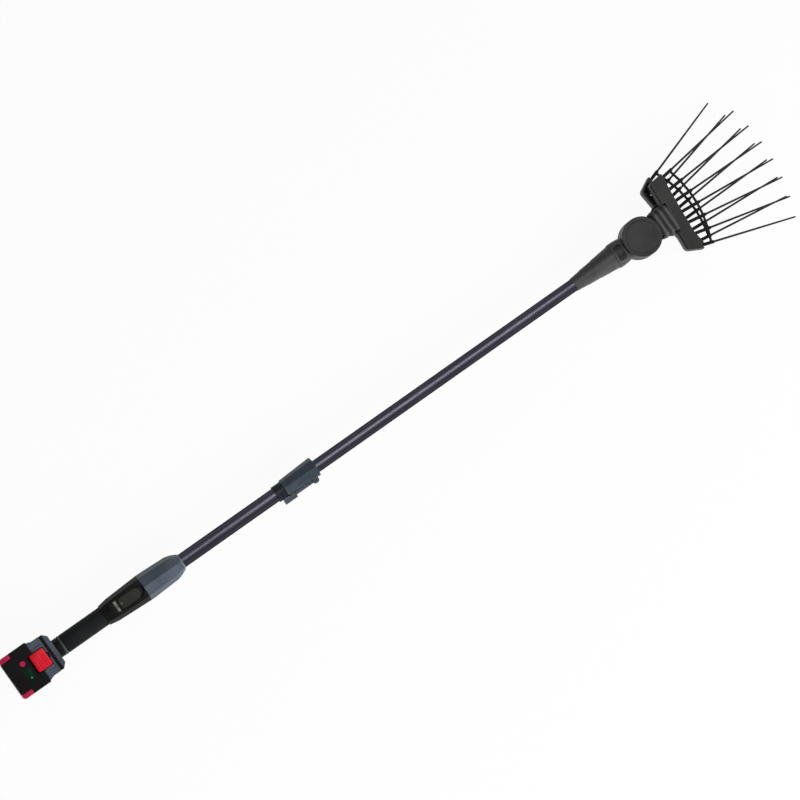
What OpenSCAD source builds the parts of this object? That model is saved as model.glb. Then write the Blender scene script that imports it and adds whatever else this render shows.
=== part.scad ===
// Battery olive harvester: telescopic pole along X with the combs at +X and the switch side up.
// The origin is on the pole's axis, in the middle of the bare stretch of the lower tube.

/* [Pole] */
// Outer diameter of the lower tube
lower_d = 25.4; // [22:0.1:30]
// Wall of both tubes
tube_wall = 1.1; // [0.9:0.1:2]
// Bare length of the lower tube between handle and clamp
lower_show = 200; // [160:5:400]
// Bare length of the upper tube between clamp and motor housing
upper_show = 554; // [300:1:900]
// Length of upper tube held inside the lower tube when closed
tube_overlap = 240; // [235:1:250]
// Length of lower tube held inside the handle nose
tube_socket = 70; // [40:1:74]
// Radial clearance of a sliding or turning fit
run_gap = 0.08; // [0.03:0.01:0.1]
// Clearance between fixed pieces that are fitted into each other
fit_gap = 0.1; // [0.05:0.01:0.2]
// Clearance between pieces that move past each other
move_gap = 0.4; // [0.3:0.05:0.6]

/* [Battery] */
// Diameter of one cell
cell_d = 18.4; // [17:0.1:21]
// Length of one cell
cell_l = 65; // [60:0.5:70]
// Cells side by side along the slide
cell_rows = 5; // [4:1:6]
// Wall of the battery case
pack_wall = 2.5; // [2:0.1:4]
// Room between the cells' ends and the case's side walls
cell_end_room = 5; // [3:0.5:8]
// Height of the rail that the battery hangs on
rail_h = 21; // [18:0.5:26]
// Width of the rail's head
rail_w = 46; // [44:1:52]
// Depth of the red bumper around the far end of the battery
bumper_h = 20; // [12:1:26]
// Press travel of the release latch
latch_travel = 4; // [2:0.5:5]
// Diameter of the gauge button
gauge_d = 9.6; // [6:0.2:12]

/* [Handle] */
// Length of the rubber grip
grip_l = 96; // [80:1:140]
// Outer diameter of the rubber grip
grip_d = 35; // [32:0.5:42]
// Thickness of the rubber grip
grip_wall = 3; // [2:0.5:4]
// Length of the control section with the thumb switch
control_l = 83; // [80:1:110]
// Width across the widest corners of the handle
handle_w = 50; // [47:0.5:60]
// Length of the octagonal nose
nose_l = 78; // [76:1:120]
// Wall of the handle and the head casings
shell_wall = 3; // [2:0.5:3.5]
// Length of the thumb switch
pad_l = 44; // [30:1:46]
// Width of the thumb switch
pad_w = 20.4; // [14:0.2:24]
// Slide travel of the thumb switch
pad_travel = 6; // [3:0.5:7]

/* [Clamp] */
// Length of the dark ring before the clamp
ring_l = 18; // [10:1:30]
// Length of the clamp collar
clamp_l = 66; // [60:1:90]
// Width of the clamp collar at its outer end
clamp_w = 40; // [38:0.5:48]
// Thickness of the lever's arm
lever_t = 5; // [3:0.5:6]
// Width of the lever
lever_w = 15; // [10:0.5:18]

/* [Motor head] */
// Length of the conical motor housing
cone_l = 85; // [82:1:120]
// Outer diameter at the wide end of the conical motor housing
cone_d = 44; // [42:0.5:50]
// Outer diameter of the barrel collar
barrel_d = 47; // [46:0.5:54]
// Length of the barrel collar on the pole's axis
barrel_l = 22; // [20:0.5:30]
// Outer radius of the round gear case
case_r = 35.4; // [34:0.1:40]
// Diameter of the motor can
motor_d = 29; // [24:0.5:31]
// Length of the motor can
motor_l = 44; // [36:1:48]
// Tooth count of the pinion
pinion_teeth = 11; // [11:1:11]
// Tooth count of the crown gear
crown_teeth = 44; // [44:1:44]
// Module of the gears
gear_module = 1; // [0.9:0.02:1.04]

/* [Combs] */
// Distance from the crank to the pivot of the combs
tail_l = 36; // [35:0.5:40]
// Swing of each comb to either side of the middle
swing = 5; // [4:0.1:6]
// Half distance between the two planes of tines
tine_z = 24; // [23:0.5:28]
// Number of tines on each side of the middle tine
tine_pairs = 3; // [2:1:3]
// Spacing of the tines along the arc bar
tine_pitch = 24; // [20:0.5:25]
// Angle between neighbouring tines
tine_fan = 4.33; // [2:0.1:5]
// Diameter of a tine
tine_d = 4; // [3:0.1:5]
// Length of a tine beyond the arc bar
tine_l = 157; // [100:1:250]
// Diameter of the sleeve around the root of a tine
sleeve_d = 6; // [5.8:0.1:8]
// Distance from the pivot to the middle of the arc bar
arc_reach = 79; // [70:0.5:100]
// Half width of a palm
palm_half = 75; // [74:0.5:84]
// Height of a palm from its rim to its face
palm_h = 27; // [24:0.5:28]

/* [Hidden] */
$fn = 64;
eps = 0.01;
far = 400;

// Stations along the pole, from the origin towards the battery
x_nose1 = -lower_show / 2;
x_nose0 = x_nose1 - nose_l;
x_control0 = x_nose0 - control_l;
x_grip0 = x_control0 - grip_l;
shoe_neck_l = 5;
shoe_base_t = 17;
x_shoe1 = x_grip0 - shoe_neck_l;
x_rail1 = x_shoe1 - shoe_base_t;
x_pack1 = x_rail1 - rail_h;

// Stations along the pole, from the origin towards the combs
x_ring0 = lower_show / 2;
x_clamp0 = x_ring0 + ring_l;
x_clamp1 = x_clamp0 + clamp_l;
bush_l = 32;
x_lower1 = x_clamp1 - bush_l;
x_cone0 = x_clamp1 + upper_show;
x_cone1 = x_cone0 + cone_l;
x_barrel1 = x_cone1 + barrel_l;
x_crank = x_barrel1 + case_r;
x_pivot = x_crank + tail_l;

// Tubes
lower_bore = lower_d - 2 * tube_wall;
upper_d = lower_bore - 2 * run_gap;
upper_bore = upper_d - 2 * tube_wall;
x_lower0 = x_nose1 - tube_socket;
x_upper0 = x_lower1 - tube_overlap;
seat_in = 8;
bell_t = 6;
can_back = cone_l + seat_in - bell_t - motor_l;
socket_share = 0.7;
cone_socket = socket_share * can_back;
guide_l = 6;
x_upper1 = x_cone0 + cone_socket;

// Battery, with its long side along Z
cell_gap = 0.5;
cell_pitch = cell_d + cell_gap;
cell_layers = 2;
board_room = 12;
gauge_room = 13;
bumper_t = 2;
bumper_wrap = 9;
bumper_dip = 10;
pack_w = cell_l + 2 * (cell_end_room + pack_wall);
case_in_t = pack_wall + bumper_t;
pack_h = cell_layers * cell_pitch + case_in_t + board_room;
pack_l = cell_rows * cell_pitch + 2 * pack_wall + gauge_room;
floor_z = -36;
pack_lift = 0.8;
pack_z0 = floor_z + pack_lift;
pack_z1 = pack_z0 + pack_l;
x_pack0 = x_pack1 - pack_h;
lid_t = 4;
x_lid = x_pack1 - lid_t;
pack_r = 7;
rail_lip = 4.5;
rail_neck_w = rail_w - 2 * rail_lip;
rail_neck_h = 9;
seat_gap = 0.3;
shoe_stop = 5;
rail_z0 = floor_z + shoe_stop + seat_gap;
rail_end = 11;
rail_z1 = pack_z1 - rail_end;
board_t = 1.6;
board_edge = 6;
post_l = 4;
post_d = 5;
contact_w = 4;
contact_t = 0.8;
contact_l = 22;
contact_pitch = 13;
contact_set = 1.5;
contact_x0 = x_pack1 + rail_neck_h + contact_set;
contact_end = 2;
contact_x1 = x_rail1 - contact_end;
gauge_share = 0.57;
gauge_x = x_pack0 + gauge_share * pack_h;
gauge_y = 12;
gauge_proud = 1.6;
gauge_flange = 1.5;
window_x = 12;
window_y = 21;
window_mid_y = -9;
window_t = 1.8;
window_lip = 2;
latch_w = 33;
latch_back = 8;
latch_x0 = x_pack1 - latch_back;
latch_front_gap = 1;
latch_x1 = x_rail1 - latch_front_gap;
latch_floor_gap = 1.5;
latch_z0 = rail_z1 + latch_floor_gap;
latch_proud = 1;
latch_z1 = pack_z1 + latch_proud;
latch_leg = 10;
latch_hook = 2;

// Shoe
shoe_side = 11.3;
shoe_half = rail_w / 2 + move_gap + shoe_side;
groove_l = 6;
groove_t = 1.5;
groove_x0 = x_rail1 + latch_hook + 1;
shoe_edge = 2;
shoe_flare = pack_w / 2 - shoe_edge;
shoe_flare_l = 10;
shoe_chamfer = 8;
shoe_drop = 3;
shoe_z1 = latch_z1 - shoe_drop;
neck_step = 2;
neck_d = grip_d - 2 * neck_step;
core_d = grip_d - 2 * grip_wall;
core_bore = core_d - 2 * shell_wall;
spigot_l = 26;
blade_t = 1.2;
blade_l = 17;
shoe_cave = 10;

// Handle
oct_flat = cos(22.5);
handle_r = handle_w / 2 * oct_flat;
panel_z = 15;
panel_t = 3;
panel_set = 17;
panel_x0 = x_control0 + panel_set;
cave_half = 12;
cave_floor = -12;
cave_end = 5;
control_knee = 18;
tube_stop_gap = 1;
handle_spigot = nose_l - tube_socket - tube_stop_gap;
spigot_wall = 5;
handle_spigot_d = lower_d + 2 * spigot_wall;
pad_end = 2;
x_pad1 = x_nose0 - pad_end - pad_travel;
x_pad0 = x_pad1 - pad_l;
pad_sink = 2.6;
pad_base = panel_z - pad_sink;
pad_proud = 2.6;
pad_top = panel_z + panel_t + pad_proud;
bar_l = 7;
bar_w = 21;
bar_t = 1.2;
bar_sink = 0.8;
switch_l = pad_l;
switch_half = 8;
switch_z1 = pad_base - seat_gap;
switch_h = 12;
control_board_t = 1.6;
handle_screw_d = 3;
handle_screw_head = 6;
handle_screw_z = -15.5;
handle_screw_reach = 10;
handle_screw_head_t = 2.5;
handle_screw_edge = 14;
nose_end_r = lower_d / 2 + shell_wall / 2;
nose_shoulder = 0.91;
nose_cheek = 0.8;

// Clamp
ring_d = 30;
bush_t = 2;
bush_d = upper_d + 2 * (run_gap + bush_t);
clamp_r = clamp_w / 2;
clamp_taper = 3;
clamp_r0 = clamp_r - clamp_taper;
lever_wall = 1.8;
lever_floor = bush_d / 2 + lever_wall;
hub_r = 3.6;
pin_d = 3;
pin_y = -(lever_floor + move_gap + hub_r);
pin_back = 12;
pin_x = x_clamp1 - pin_back;
lug_t = 4;
lug_r = 5;
lever_in = lever_floor + move_gap;
knob_set = 6;
knob_x0 = x_ring0 + knob_set;
knob_l = 24;
knob_h = 9;
slit_w = 3;

// Motor head
case_wall = 5;
case_in = case_r - case_wall;
boss_r = 24;
cover_t = 9;
cone_wall = 2.5;
cone_step = 0.5;
cone_lip = 1;
cone_r0 = upper_d / 2 + cone_lip;
barrel_in = cone_d / 2 - cone_wall;
spigot_r = barrel_in - fit_gap;
x_seat = x_cone1 + seat_in;
x_can1 = x_seat - bell_t;
x_can0 = x_cone0 + can_back;
can_gap = 0.15;
can_step = 4;
bell_rim = 3;
bell_r = motor_d / 2 + bell_rim;
can_wall = 1.5;
shaft_d = 4;
rotor_gap = 2.5;
rotor_r = motor_d / 2 - can_wall - rotor_gap;
rotor_end = 5;
pilot_d = 15;
motor_screw_r = 11;
motor_screw_d = 3;
motor_screw_grip = 12;
cover_screw_d = 2.5;
barrel_swell = 3;
barrel_top = barrel_l / 3;
barrel_span = barrel_l + case_r / 2;
barrel_steps = 12;
plug_l = 17;
plug_w = 30;
plug_r = 5;
plug_edge = 2;
plug_sink = 1.5;
plug_proud = 0.8;

// Gears: a pinion on the motor shaft runs on the upright teeth of the crown gear
pinion_pitch_r = gear_module * pinion_teeth / 2;
crown_pitch_r = gear_module * crown_teeth / 2;
gear_face = 4;
pinion_tip_r = pinion_pitch_r + 0.75 * gear_module;
pinion_root_r = pinion_pitch_r - 1.25 * gear_module;
pinion_base_half = 0.62 * gear_module;
pinion_tip_half = 0.3 * gear_module;
mesh_gap = 0.3;
crown_top = -(pinion_root_r + mesh_gap);
crown_root = -(pinion_tip_r + mesh_gap);
crown_tooth_foot = 0.5 * gear_module;
crown_tooth_tip = 0.25 * gear_module;
crown_disc_t = 4;

// Crank and forks
ecc = tail_l * tan(swing);
crank_d = 10;
ecc_wall = 0.4;
ecc_r = crank_d / 2 + ecc + ecc_wall;
roller_t = 2.4;
roller_r = ecc_r + run_gap + roller_t;
arm_z0 = 12;
arm_t = 4;
arm_z1 = arm_z0 + arm_t;
arm_room = 3;
nose_wall = 3.5;
case_z1 = arm_z1 + arm_room + nose_wall;
case_floor_t = 3;
case_z0 = -case_z1 - case_floor_t;
cover_z1 = case_z1 + cover_t;
bearing_d = 22;
bearing_h = 6;
bearing_floor = 2;
lower_bearing_z = floor_z + bearing_floor;
bearing_gap = 1;
upper_bearing_z = case_z1 + bearing_gap;
slot_play = 0.25 * ecc + 0.2;
slot_half = roller_r + slot_play;
prong_t = 4;
slot_end = -tail_l + ecc + roller_r + 1;
tail_end = -tail_l - ecc - roller_r + 1;

// Nose of the gear case and the pivot
pivot_d = 10;
bush_r = 7.5;
bush_flange_t = 0.9;
hub_arm_r = 13;
arm_half = 11;
nose_half = 20;
nose_in = 16.4;
nose_top = case_z1;
nose_over = 20;
nose_x1 = x_pivot + nose_over;
boot_back = 2;
boot_l = 26;
boot_x0 = x_pivot - boot_back;
boot_x1 = boot_x0 + boot_l;
boot_r = 6;
boot_half = 22.6;
boot_t = 1.6;
boot_z = nose_top + boot_t;
boot_ribs = 3;
rib_h = 2;
rib_l = 5;

// Combs, in a frame with the pivot at the origin and the middle tine along X
palm_face_t = 3;
palm_wall = 3;
palm_rise = 9;
palm_z1 = tine_z + palm_rise;
palm_z0 = palm_z1 - palm_h;
palm_back = 28.5;
notch_half = 28;
palm_tail = 20;
palm_corner = 63;
palm_square = 69;
palm_front_mid = 47;
palm_front_end = 48.5;
palm_front_wall = 7;
palm_round = 5;
palm_bevel = 4;
cross_half = 56;
cross_x0 = palm_tail + palm_wall + seat_gap;
cross_bar_x0 = 27.2;
cross_x1 = palm_front_mid - palm_front_wall - seat_gap;
wing_y0 = 32;
palm_screw_x = (cross_bar_x0 + cross_x1) / 2;
palm_screw_ys = [-48, -34, 34, 48];
palm_screw_d = 3;
palm_screw_head = 6;
palm_screw_head_t = 2.5;
palm_boss_r = 4.5;
arc_sag = 0.00262;
sleeve_seat = 4;
tine_hold = 3;
sleeve_past = 5;
arc_bar_d = 4.6;

// Helpers
module rounded(w, h, r) {
    square([w - 2 * r, h], center = true);
    square([w, h - 2 * r], center = true);
    for (sx = [-1, 1], sy = [-1, 1])
        translate([sx * (w / 2 - r), sy * (h / 2 - r)]) circle(r);
}

module stadium(l, w) {
    square([l - w, w], center = true);
    for (s = [-1, 1]) translate([s * (l - w) / 2, 0]) circle(d = w);
}

module along_x(x0, l) {
    translate([x0, 0, 0]) rotate([90, 0, 90]) linear_extrude(l) children();
}

module along_z(z0, l) {
    translate([0, 0, z0]) linear_extrude(l) children();
}

module rod_x(x0, x1, d) {
    translate([x0, 0, 0]) rotate([0, 90, 0]) cylinder(d = d, h = x1 - x0);
}

module tube_x(x0, x1, d, bore) {
    difference() {
        rod_x(x0, x1, d);
        rod_x(x0 - eps, x1 + eps, bore);
    }
}

module rod_z(x, y, z0, z1, d) {
    translate([x, y, z0]) cylinder(d = d, h = z1 - z0);
}

module box(x0, x1, y0, y1, z0, z1) {
    translate([x0, y0, z0]) cube([x1 - x0, y1 - y0, z1 - z0]);
}

module outline(st) {
    n = len(st);
    top = [for (s = st) s];
    low = [for (i = [n - 1:-1:0]) [st[i][0], -st[i][1]]];
    polygon(concat(top, low));
}

// Eight-sided body along X with a corner on top, from stations of [x, distance to a flat]
module octagon_body(st) {
    intersection() {
        rotate([22.5, 0, 0]) translate([0, 0, -far]) linear_extrude(2 * far) outline(st);
        rotate([67.5, 0, 0]) translate([0, 0, -far]) linear_extrude(2 * far) outline(st);
        rotate([112.5, 0, 0]) translate([0, 0, -far]) linear_extrude(2 * far) outline(st);
        rotate([157.5, 0, 0]) translate([0, 0, -far]) linear_extrude(2 * far) outline(st);
    }
}

// Battery pack
module pack_outline(inset) {
    x0 = x_pack0 + inset;
    w = x_lid + pack_r - x0;
    intersection() {
        translate([x0 + w / 2, 0]) rounded(w, pack_w - 2 * inset, pack_r - inset);
        translate([x0, -far]) square([x_lid - x0, 2 * far]);
    }
}

// The bumper covers both sides and turns onto the end faces at the corners, with a belt across the far end
module bumper_shape(out) {
    wrap_y = pack_w / 2 - bumper_wrap;
    difference() {
        along_z(pack_z0 - out, pack_l + 2 * out) pack_outline(-out);
        difference() {
            along_z(pack_z0 + bumper_t, pack_l - 2 * bumper_t) pack_outline(bumper_t);
            box(x_pack0, x_pack0 + bumper_t, -far, far, -far, far);
        }
        box(x_pack0 + bumper_h, x_pack1, -far, far, -far, far);
        box(x_pack0 + bumper_t, x_pack1, -wrap_y, wrap_y, -far, far);
        box(-far, x_pack0 + bumper_t + eps, -wrap_y, wrap_y, pack_z1 - bumper_dip, far);
        box(-far, x_pack0 + bumper_t + eps, -wrap_y, wrap_y, -far, pack_z0 + bumper_dip);
    }
}

module latch_pocket(grow) {
    half = latch_w / 2 + move_gap + grow;
    x0 = latch_x0 - latch_travel - move_gap - grow;
    box(x0, x_rail1, -half, half, latch_z0 - move_gap - grow, far);
}

module battery_case() {
    color([0.1, 0.1, 0.1])
        difference() {
            along_z(pack_z0, pack_l) pack_outline(0);
            difference() {
                along_z(pack_z0 + pack_wall, pack_l - 2 * pack_wall) pack_outline(case_in_t);
                latch_pocket(pack_wall);
            }
            latch_pocket(0);
            bumper_shape(1);
            rod_z(gauge_x, gauge_y, pack_z1 - 2 * pack_wall, far, gauge_d + 2 * seat_gap);
            translate([gauge_x, window_mid_y, 0]) {
                along_z(pack_z1 - window_t, far) rounded(window_x, window_y, window_lip);
                along_z(pack_z1 - 2 * pack_wall, far)
                    square([window_x - 2 * window_lip, window_y - 2 * window_lip], center = true);
            }
        }
}

module battery_lid() {
    half = pack_w / 2;
    color([0.12, 0.12, 0.12])
        difference() {
            union() {
                box(x_lid, x_pack1, -half, half, pack_z0, pack_z1);
                box(x_pack1 - 1, x_rail1 - 1, -rail_neck_w / 2, rail_neck_w / 2, rail_z0, shoe_z1);
                box(x_pack1 + rail_neck_h, x_rail1 - move_gap, -rail_w / 2, rail_w / 2, rail_z0, shoe_z1);
                for (y = [-1, 1], z = [pack_z0, rail_z1])
                    translate([x_lid - post_l, y * (cell_l / 2 - board_edge), z + board_edge * sign(-z)])
                        rotate([0, 90, 0]) cylinder(d = post_d, h = post_l + 1);
            }
            latch_pocket(0);
            for (i = [-1:1])
                translate([contact_x0, i * contact_pitch - contact_w / 2, rail_z0 - 1])
                    cube([contact_x1 - contact_x0, contact_w, contact_l + 1]);
        }
}

module battery_bumper() {
    color([0.75, 0.14, 0.28]) bumper_shape(0);
}

module battery_cells() {
    color([0.2, 0.45, 0.55])
        for (i = [0:cell_layers - 1], k = [0:cell_rows - 1])
            translate([
                x_pack0 + case_in_t + (i + 0.5) * cell_pitch,
                cell_l / 2,
                pack_z0 + pack_wall + (k + 0.5) * cell_pitch
            ])
                rotate([90, 0, 0]) cylinder(d = cell_d, h = cell_l);
}

module battery_board() {
    color([0.1, 0.35, 0.2])
        box(x_lid - post_l - board_t, x_lid - post_l, -cell_l / 2, cell_l / 2,
            pack_z0 + pack_wall + 1, latch_z0 - 2 * pack_wall);
}

module battery_contacts() {
    side = contact_w / 2 - contact_t;
    color([0.8, 0.65, 0.35])
        for (i = [-1:1], s = [-1, 1])
            translate([contact_x0, i * contact_pitch + s * (side + contact_t / 2) - contact_t / 2, rail_z0])
                cube([contact_x1 - contact_x0, contact_t, contact_l - 1]);
}

module gauge_window() {
    color([0.1, 0.3, 0.2])
        translate([gauge_x, window_mid_y, 0])
            along_z(pack_z1 - window_t, window_t) rounded(window_x, window_y, window_lip);
}

module gauge_button() {
    flange_z = pack_z1 - pack_wall - seat_gap;
    color([0.75, 0.16, 0.3]) {
        rod_z(gauge_x, gauge_y, flange_z - gauge_flange, pack_z1 + gauge_proud, gauge_d);
        rod_z(gauge_x, gauge_y, flange_z - gauge_flange, flange_z, gauge_d + 2 * gauge_flange);
    }
}

module battery_latch() {
    half = latch_w / 2;
    color([0.9, 0.12, 0.18]) {
        box(latch_x0, latch_x1, -half, half, latch_z0, latch_z1);
        box(latch_x1 - 1, latch_x1 + latch_hook + 1, -latch_leg / 2, latch_leg / 2,
            latch_z0, latch_z0 + latch_leg / 2);
    }
}

// Handle
module shoe_outline() {
    outline([
        [x_pack1 + seat_gap, shoe_flare],
        [x_pack1 + shoe_flare_l, shoe_half],
        [x_shoe1 - shoe_chamfer, shoe_half],
        [x_shoe1, shoe_half - shoe_chamfer]
    ]);
}

module shoe_groove() {
    half = shoe_half - groove_t;
    difference() {
        box(groove_x0, groove_x0 + groove_l, -far, far, -far, far);
        box(groove_x0 - 1, groove_x0 + groove_l + 1, -half, half, -far, shoe_z1 - groove_t);
    }
}

module battery_shoe() {
    neck_half = rail_neck_w / 2 + move_gap;
    head_half = rail_w / 2 + move_gap;
    slot_z0 = floor_z + shoe_stop;
    head_x0 = x_pack1 + rail_neck_h - move_gap;
    cave_mid = (x_rail1 + x_shoe1) / 2;
    color([0.3, 0.34, 0.37])
        difference() {
            union() {
                along_z(floor_z, shoe_z1 - floor_z) shoe_outline();
                rod_x(x_shoe1 - 1, x_grip0, neck_d);
                rod_x(x_shoe1 - 1, x_grip0 + spigot_l, core_bore - 2 * fit_gap);
            }
            box(x_pack1 - 1, head_x0 + 1, -neck_half, neck_half, slot_z0, far);
            box(head_x0, x_rail1, -head_half, head_half, slot_z0, far);
            box(x_rail1 - 1, latch_x1 + latch_hook + 1 + move_gap, -latch_leg / 2 - move_gap,
                latch_leg / 2 + move_gap, latch_z0 - move_gap, far);
            box(cave_mid - shoe_cave / 2, cave_mid + shoe_cave / 2, -rail_w / 2, rail_w / 2,
                slot_z0, rail_z1 - shoe_stop);
            rod_x(cave_mid, far, core_bore - 2 * shell_wall);
            shoe_groove();
        }
}

module shoe_terminals() {
    z0 = floor_z + shoe_stop;
    color([0.8, 0.8, 0.78])
        for (i = [-1:1])
            translate([contact_x0 + move_gap, i * contact_pitch - blade_t / 2, z0])
                cube([contact_x1 - contact_x0 - 2 * move_gap, blade_t, blade_l]);
}

module control_body(grow) {
    octagon_body([
        [x_control0, grip_d / 2 + grow],
        [x_control0 + control_knee, (grip_d / 2 + handle_r) / 2 + grow],
        [x_nose0, handle_r + grow]
    ]);
}

module panel_space() {
    box(panel_x0, x_nose0 + 1, -far, far, panel_z, far);
}

module handle_whole() {
    cave_x0 = x_control0 + cave_end;
    cave_x1 = x_nose0 - cave_end;
    switch_mid = (x_pad0 + x_pad1) / 2;
    rib_top = switch_z1 - switch_h - control_board_t;
    difference() {
        union() {
            rod_x(x_grip0, x_control0 + 1, core_d);
            control_body(0);
            rod_x(x_nose0 - 1, x_nose0 + handle_spigot, handle_spigot_d);
        }
        panel_space();
        pad_slot(move_gap, pad_base - move_gap);
        difference() {
            box(cave_x0, cave_x1, -cave_half, cave_half, cave_floor, panel_z + 1);
            for (s = [-1, 1])
                translate([switch_mid + s * switch_l / 3, -far, -far])
                    cube([shell_wall, 2 * far, rib_top + far]);
            box(cave_x0, panel_x0, -far, far, panel_z - shell_wall - cave_end, far);
        }
        rod_x(x_grip0 - 1, cave_x0 + 1, core_bore);
        rod_x(cave_x1 - 1, x_nose0 + handle_spigot + 1, lower_bore);
        handle_screw_space();
    }
}

module handle_screw_places() {
    for (x = [x_control0 + control_knee + handle_screw_edge, x_nose0 - handle_screw_edge])
        translate([x, -handle_screw_reach, handle_screw_z]) rotate([-90, 0, 0]) children();
}

module handle_screw_space() {
    handle_screw_places() {
        cylinder(d = handle_screw_d + 2 * fit_gap, h = 2 * handle_screw_reach);
        translate([0, 0, -far]) cylinder(d = handle_screw_head + 4 * fit_gap, h = far);
    }
}

module handle_screws() {
    color([0.5, 0.5, 0.52])
        handle_screw_places() {
            cylinder(d = handle_screw_d, h = 2 * handle_screw_reach - 1);
            translate([0, 0, -handle_screw_head_t])
                cylinder(d = handle_screw_head, h = handle_screw_head_t);
        }
}

module handle_half_left() {
    color([0.14, 0.14, 0.14])
        intersection() {
            handle_whole();
            box(-2 * far, far, 0, far, -far, far);
        }
}

module handle_half_right() {
    color([0.14, 0.14, 0.14])
        intersection() {
            handle_whole();
            box(-2 * far, far, -far, 0, -far, far);
        }
}

module grip_sleeve() {
    color([0.18, 0.18, 0.19]) tube_x(x_grip0, x_control0, grip_d, core_d);
}

module pad_slot(grow, z0) {
    translate([(x_pad0 + x_pad1 + pad_travel) / 2, 0, z0])
        linear_extrude(far) stadium(pad_l + pad_travel + 2 * grow, pad_w + 2 * grow);
}

module bar_space() {
    x1 = x_pad0 - move_gap - 1.5;
    z0 = panel_z + panel_t - bar_sink;
    box(x1 - bar_l, x1, -bar_w / 2, bar_w / 2, z0, z0 + bar_t);
}

module control_panel() {
    color([0.1, 0.1, 0.1])
        difference() {
            intersection() {
                control_body(0);
                box(panel_x0, x_nose0, -far, far, panel_z, panel_z + panel_t);
            }
            pad_slot(move_gap, panel_z - 1);
            bar_space();
        }
}

module indicator_bar() {
    color([0.62, 0.62, 0.6]) bar_space();
}

module power_slide() {
    color([0.22, 0.22, 0.2])
        translate([(x_pad0 + x_pad1) / 2, 0, 0])
            along_z(pad_base, pad_top - pad_base) stadium(pad_l, pad_w);
}

module switch_body() {
    switch_mid = (x_pad0 + x_pad1) / 2;
    color([0.2, 0.2, 0.25])
        box(switch_mid - switch_l / 2, switch_mid + switch_l / 2, -switch_half, switch_half,
            switch_z1 - switch_h, switch_z1);
}

module control_board() {
    z1 = switch_z1 - switch_h;
    color([0.1, 0.35, 0.2])
        box(panel_x0, x_nose0 - cave_end - 1, -cave_half + 1, cave_half - 1, z1 - control_board_t, z1);
}

module nose_shell() {
    taper = nose_l / 4;
    color([0.3, 0.34, 0.38])
        difference() {
            octagon_body([
                [x_nose0, handle_r],
                [x_nose0 + taper / 2, handle_r],
                [x_nose1 - taper, handle_r * nose_shoulder],
                [x_nose1 - taper / 2, handle_r * nose_cheek],
                [x_nose1, nose_end_r]
            ]);
            rod_x(x_nose0 - 1, x_nose1 + 1, lower_d + 2 * fit_gap);
            rod_x(x_nose0 - 1, x_nose0 + handle_spigot + fit_gap, handle_spigot_d + 2 * fit_gap);
        }
}

// Pole and clamp
module lower_tube() {
    color([0.14, 0.13, 0.18]) tube_x(x_lower0, x_lower1, lower_d, lower_bore);
}

module clamp_ring() {
    color([0.16, 0.17, 0.2]) tube_x(x_ring0, x_clamp0, ring_d, lower_d + 2 * fit_gap);
}

module clamp_collar() {
    lug_z = lever_w / 2 + move_gap;
    color([0.24, 0.28, 0.32])
        difference() {
            union() {
                octagon_body([[x_clamp0, clamp_r0 * oct_flat], [x_clamp1, clamp_r * oct_flat]]);
                for (z = [-lug_z - lug_t, lug_z]) {
                    rod_z(pin_x, pin_y, z, z + lug_t, 2 * lug_r);
                    box(pin_x - lug_r, pin_x + lug_r, pin_y, -lever_floor + 1, z, z + lug_t);
                }
            }
            rod_x(x_clamp0 - 1, x_lower1, lower_d + 2 * fit_gap);
            rod_x(x_lower1 - eps, x_clamp1 + 1, bush_d + 2 * fit_gap);
            box(x_clamp0 - 1, x_clamp1 + 1, -far, -lever_floor, -lug_z, lug_z);
            box(x_lower1 + slit_w, x_clamp1 + 1, -far, 0, -slit_w / 2, slit_w / 2);
            rod_z(pin_x, pin_y, -far, far, pin_d + 2 * fit_gap);
        }
}

module clamp_bush() {
    color([0.3, 0.3, 0.3])
        difference() {
            tube_x(x_lower1, x_clamp1, bush_d, upper_d + 2 * run_gap);
            box(x_lower1 - 1, x_clamp1 + 1, -far, 0, -slit_w / 2, slit_w / 2);
        }
}

module clamp_lever() {
    half = lever_w / 2;
    knob_in = lever_floor + move_gap;
    color([0.33, 0.37, 0.42])
        difference() {
            union() {
                rod_z(pin_x, pin_y, -half, half, 2 * hub_r);
                box(knob_x0 + knob_l - 1, pin_x, -lever_in - lever_t, -lever_in, -half, half);
                box(knob_x0, knob_x0 + knob_l, -knob_in - knob_h, -knob_in, -half, half);
            }
            rod_z(pin_x, pin_y, -far, far, pin_d + 2 * run_gap);
        }
}

module lever_pin() {
    reach = lever_w / 2 + move_gap + lug_t;
    color([0.7, 0.7, 0.7]) rod_z(pin_x, pin_y, -reach, reach, pin_d);
}

module upper_tube() {
    color([0.14, 0.13, 0.18]) tube_x(x_upper0, x_upper1, upper_d, upper_bore);
}

module tube_guide() {
    plug_d = upper_bore - 2 * fit_gap;
    color([0.2, 0.2, 0.2]) {
        tube_x(x_upper0 - guide_l, x_upper0, upper_d, plug_d - 2 * shell_wall);
        tube_x(x_upper0 - 1, x_upper0 + 3 * guide_l, plug_d, plug_d - 2 * shell_wall);
    }
}

// Motor head
function cone_radius(x) = cone_r0 + (cone_d / 2 - cone_step - cone_r0) * (x - x_cone0) / cone_l;

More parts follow.
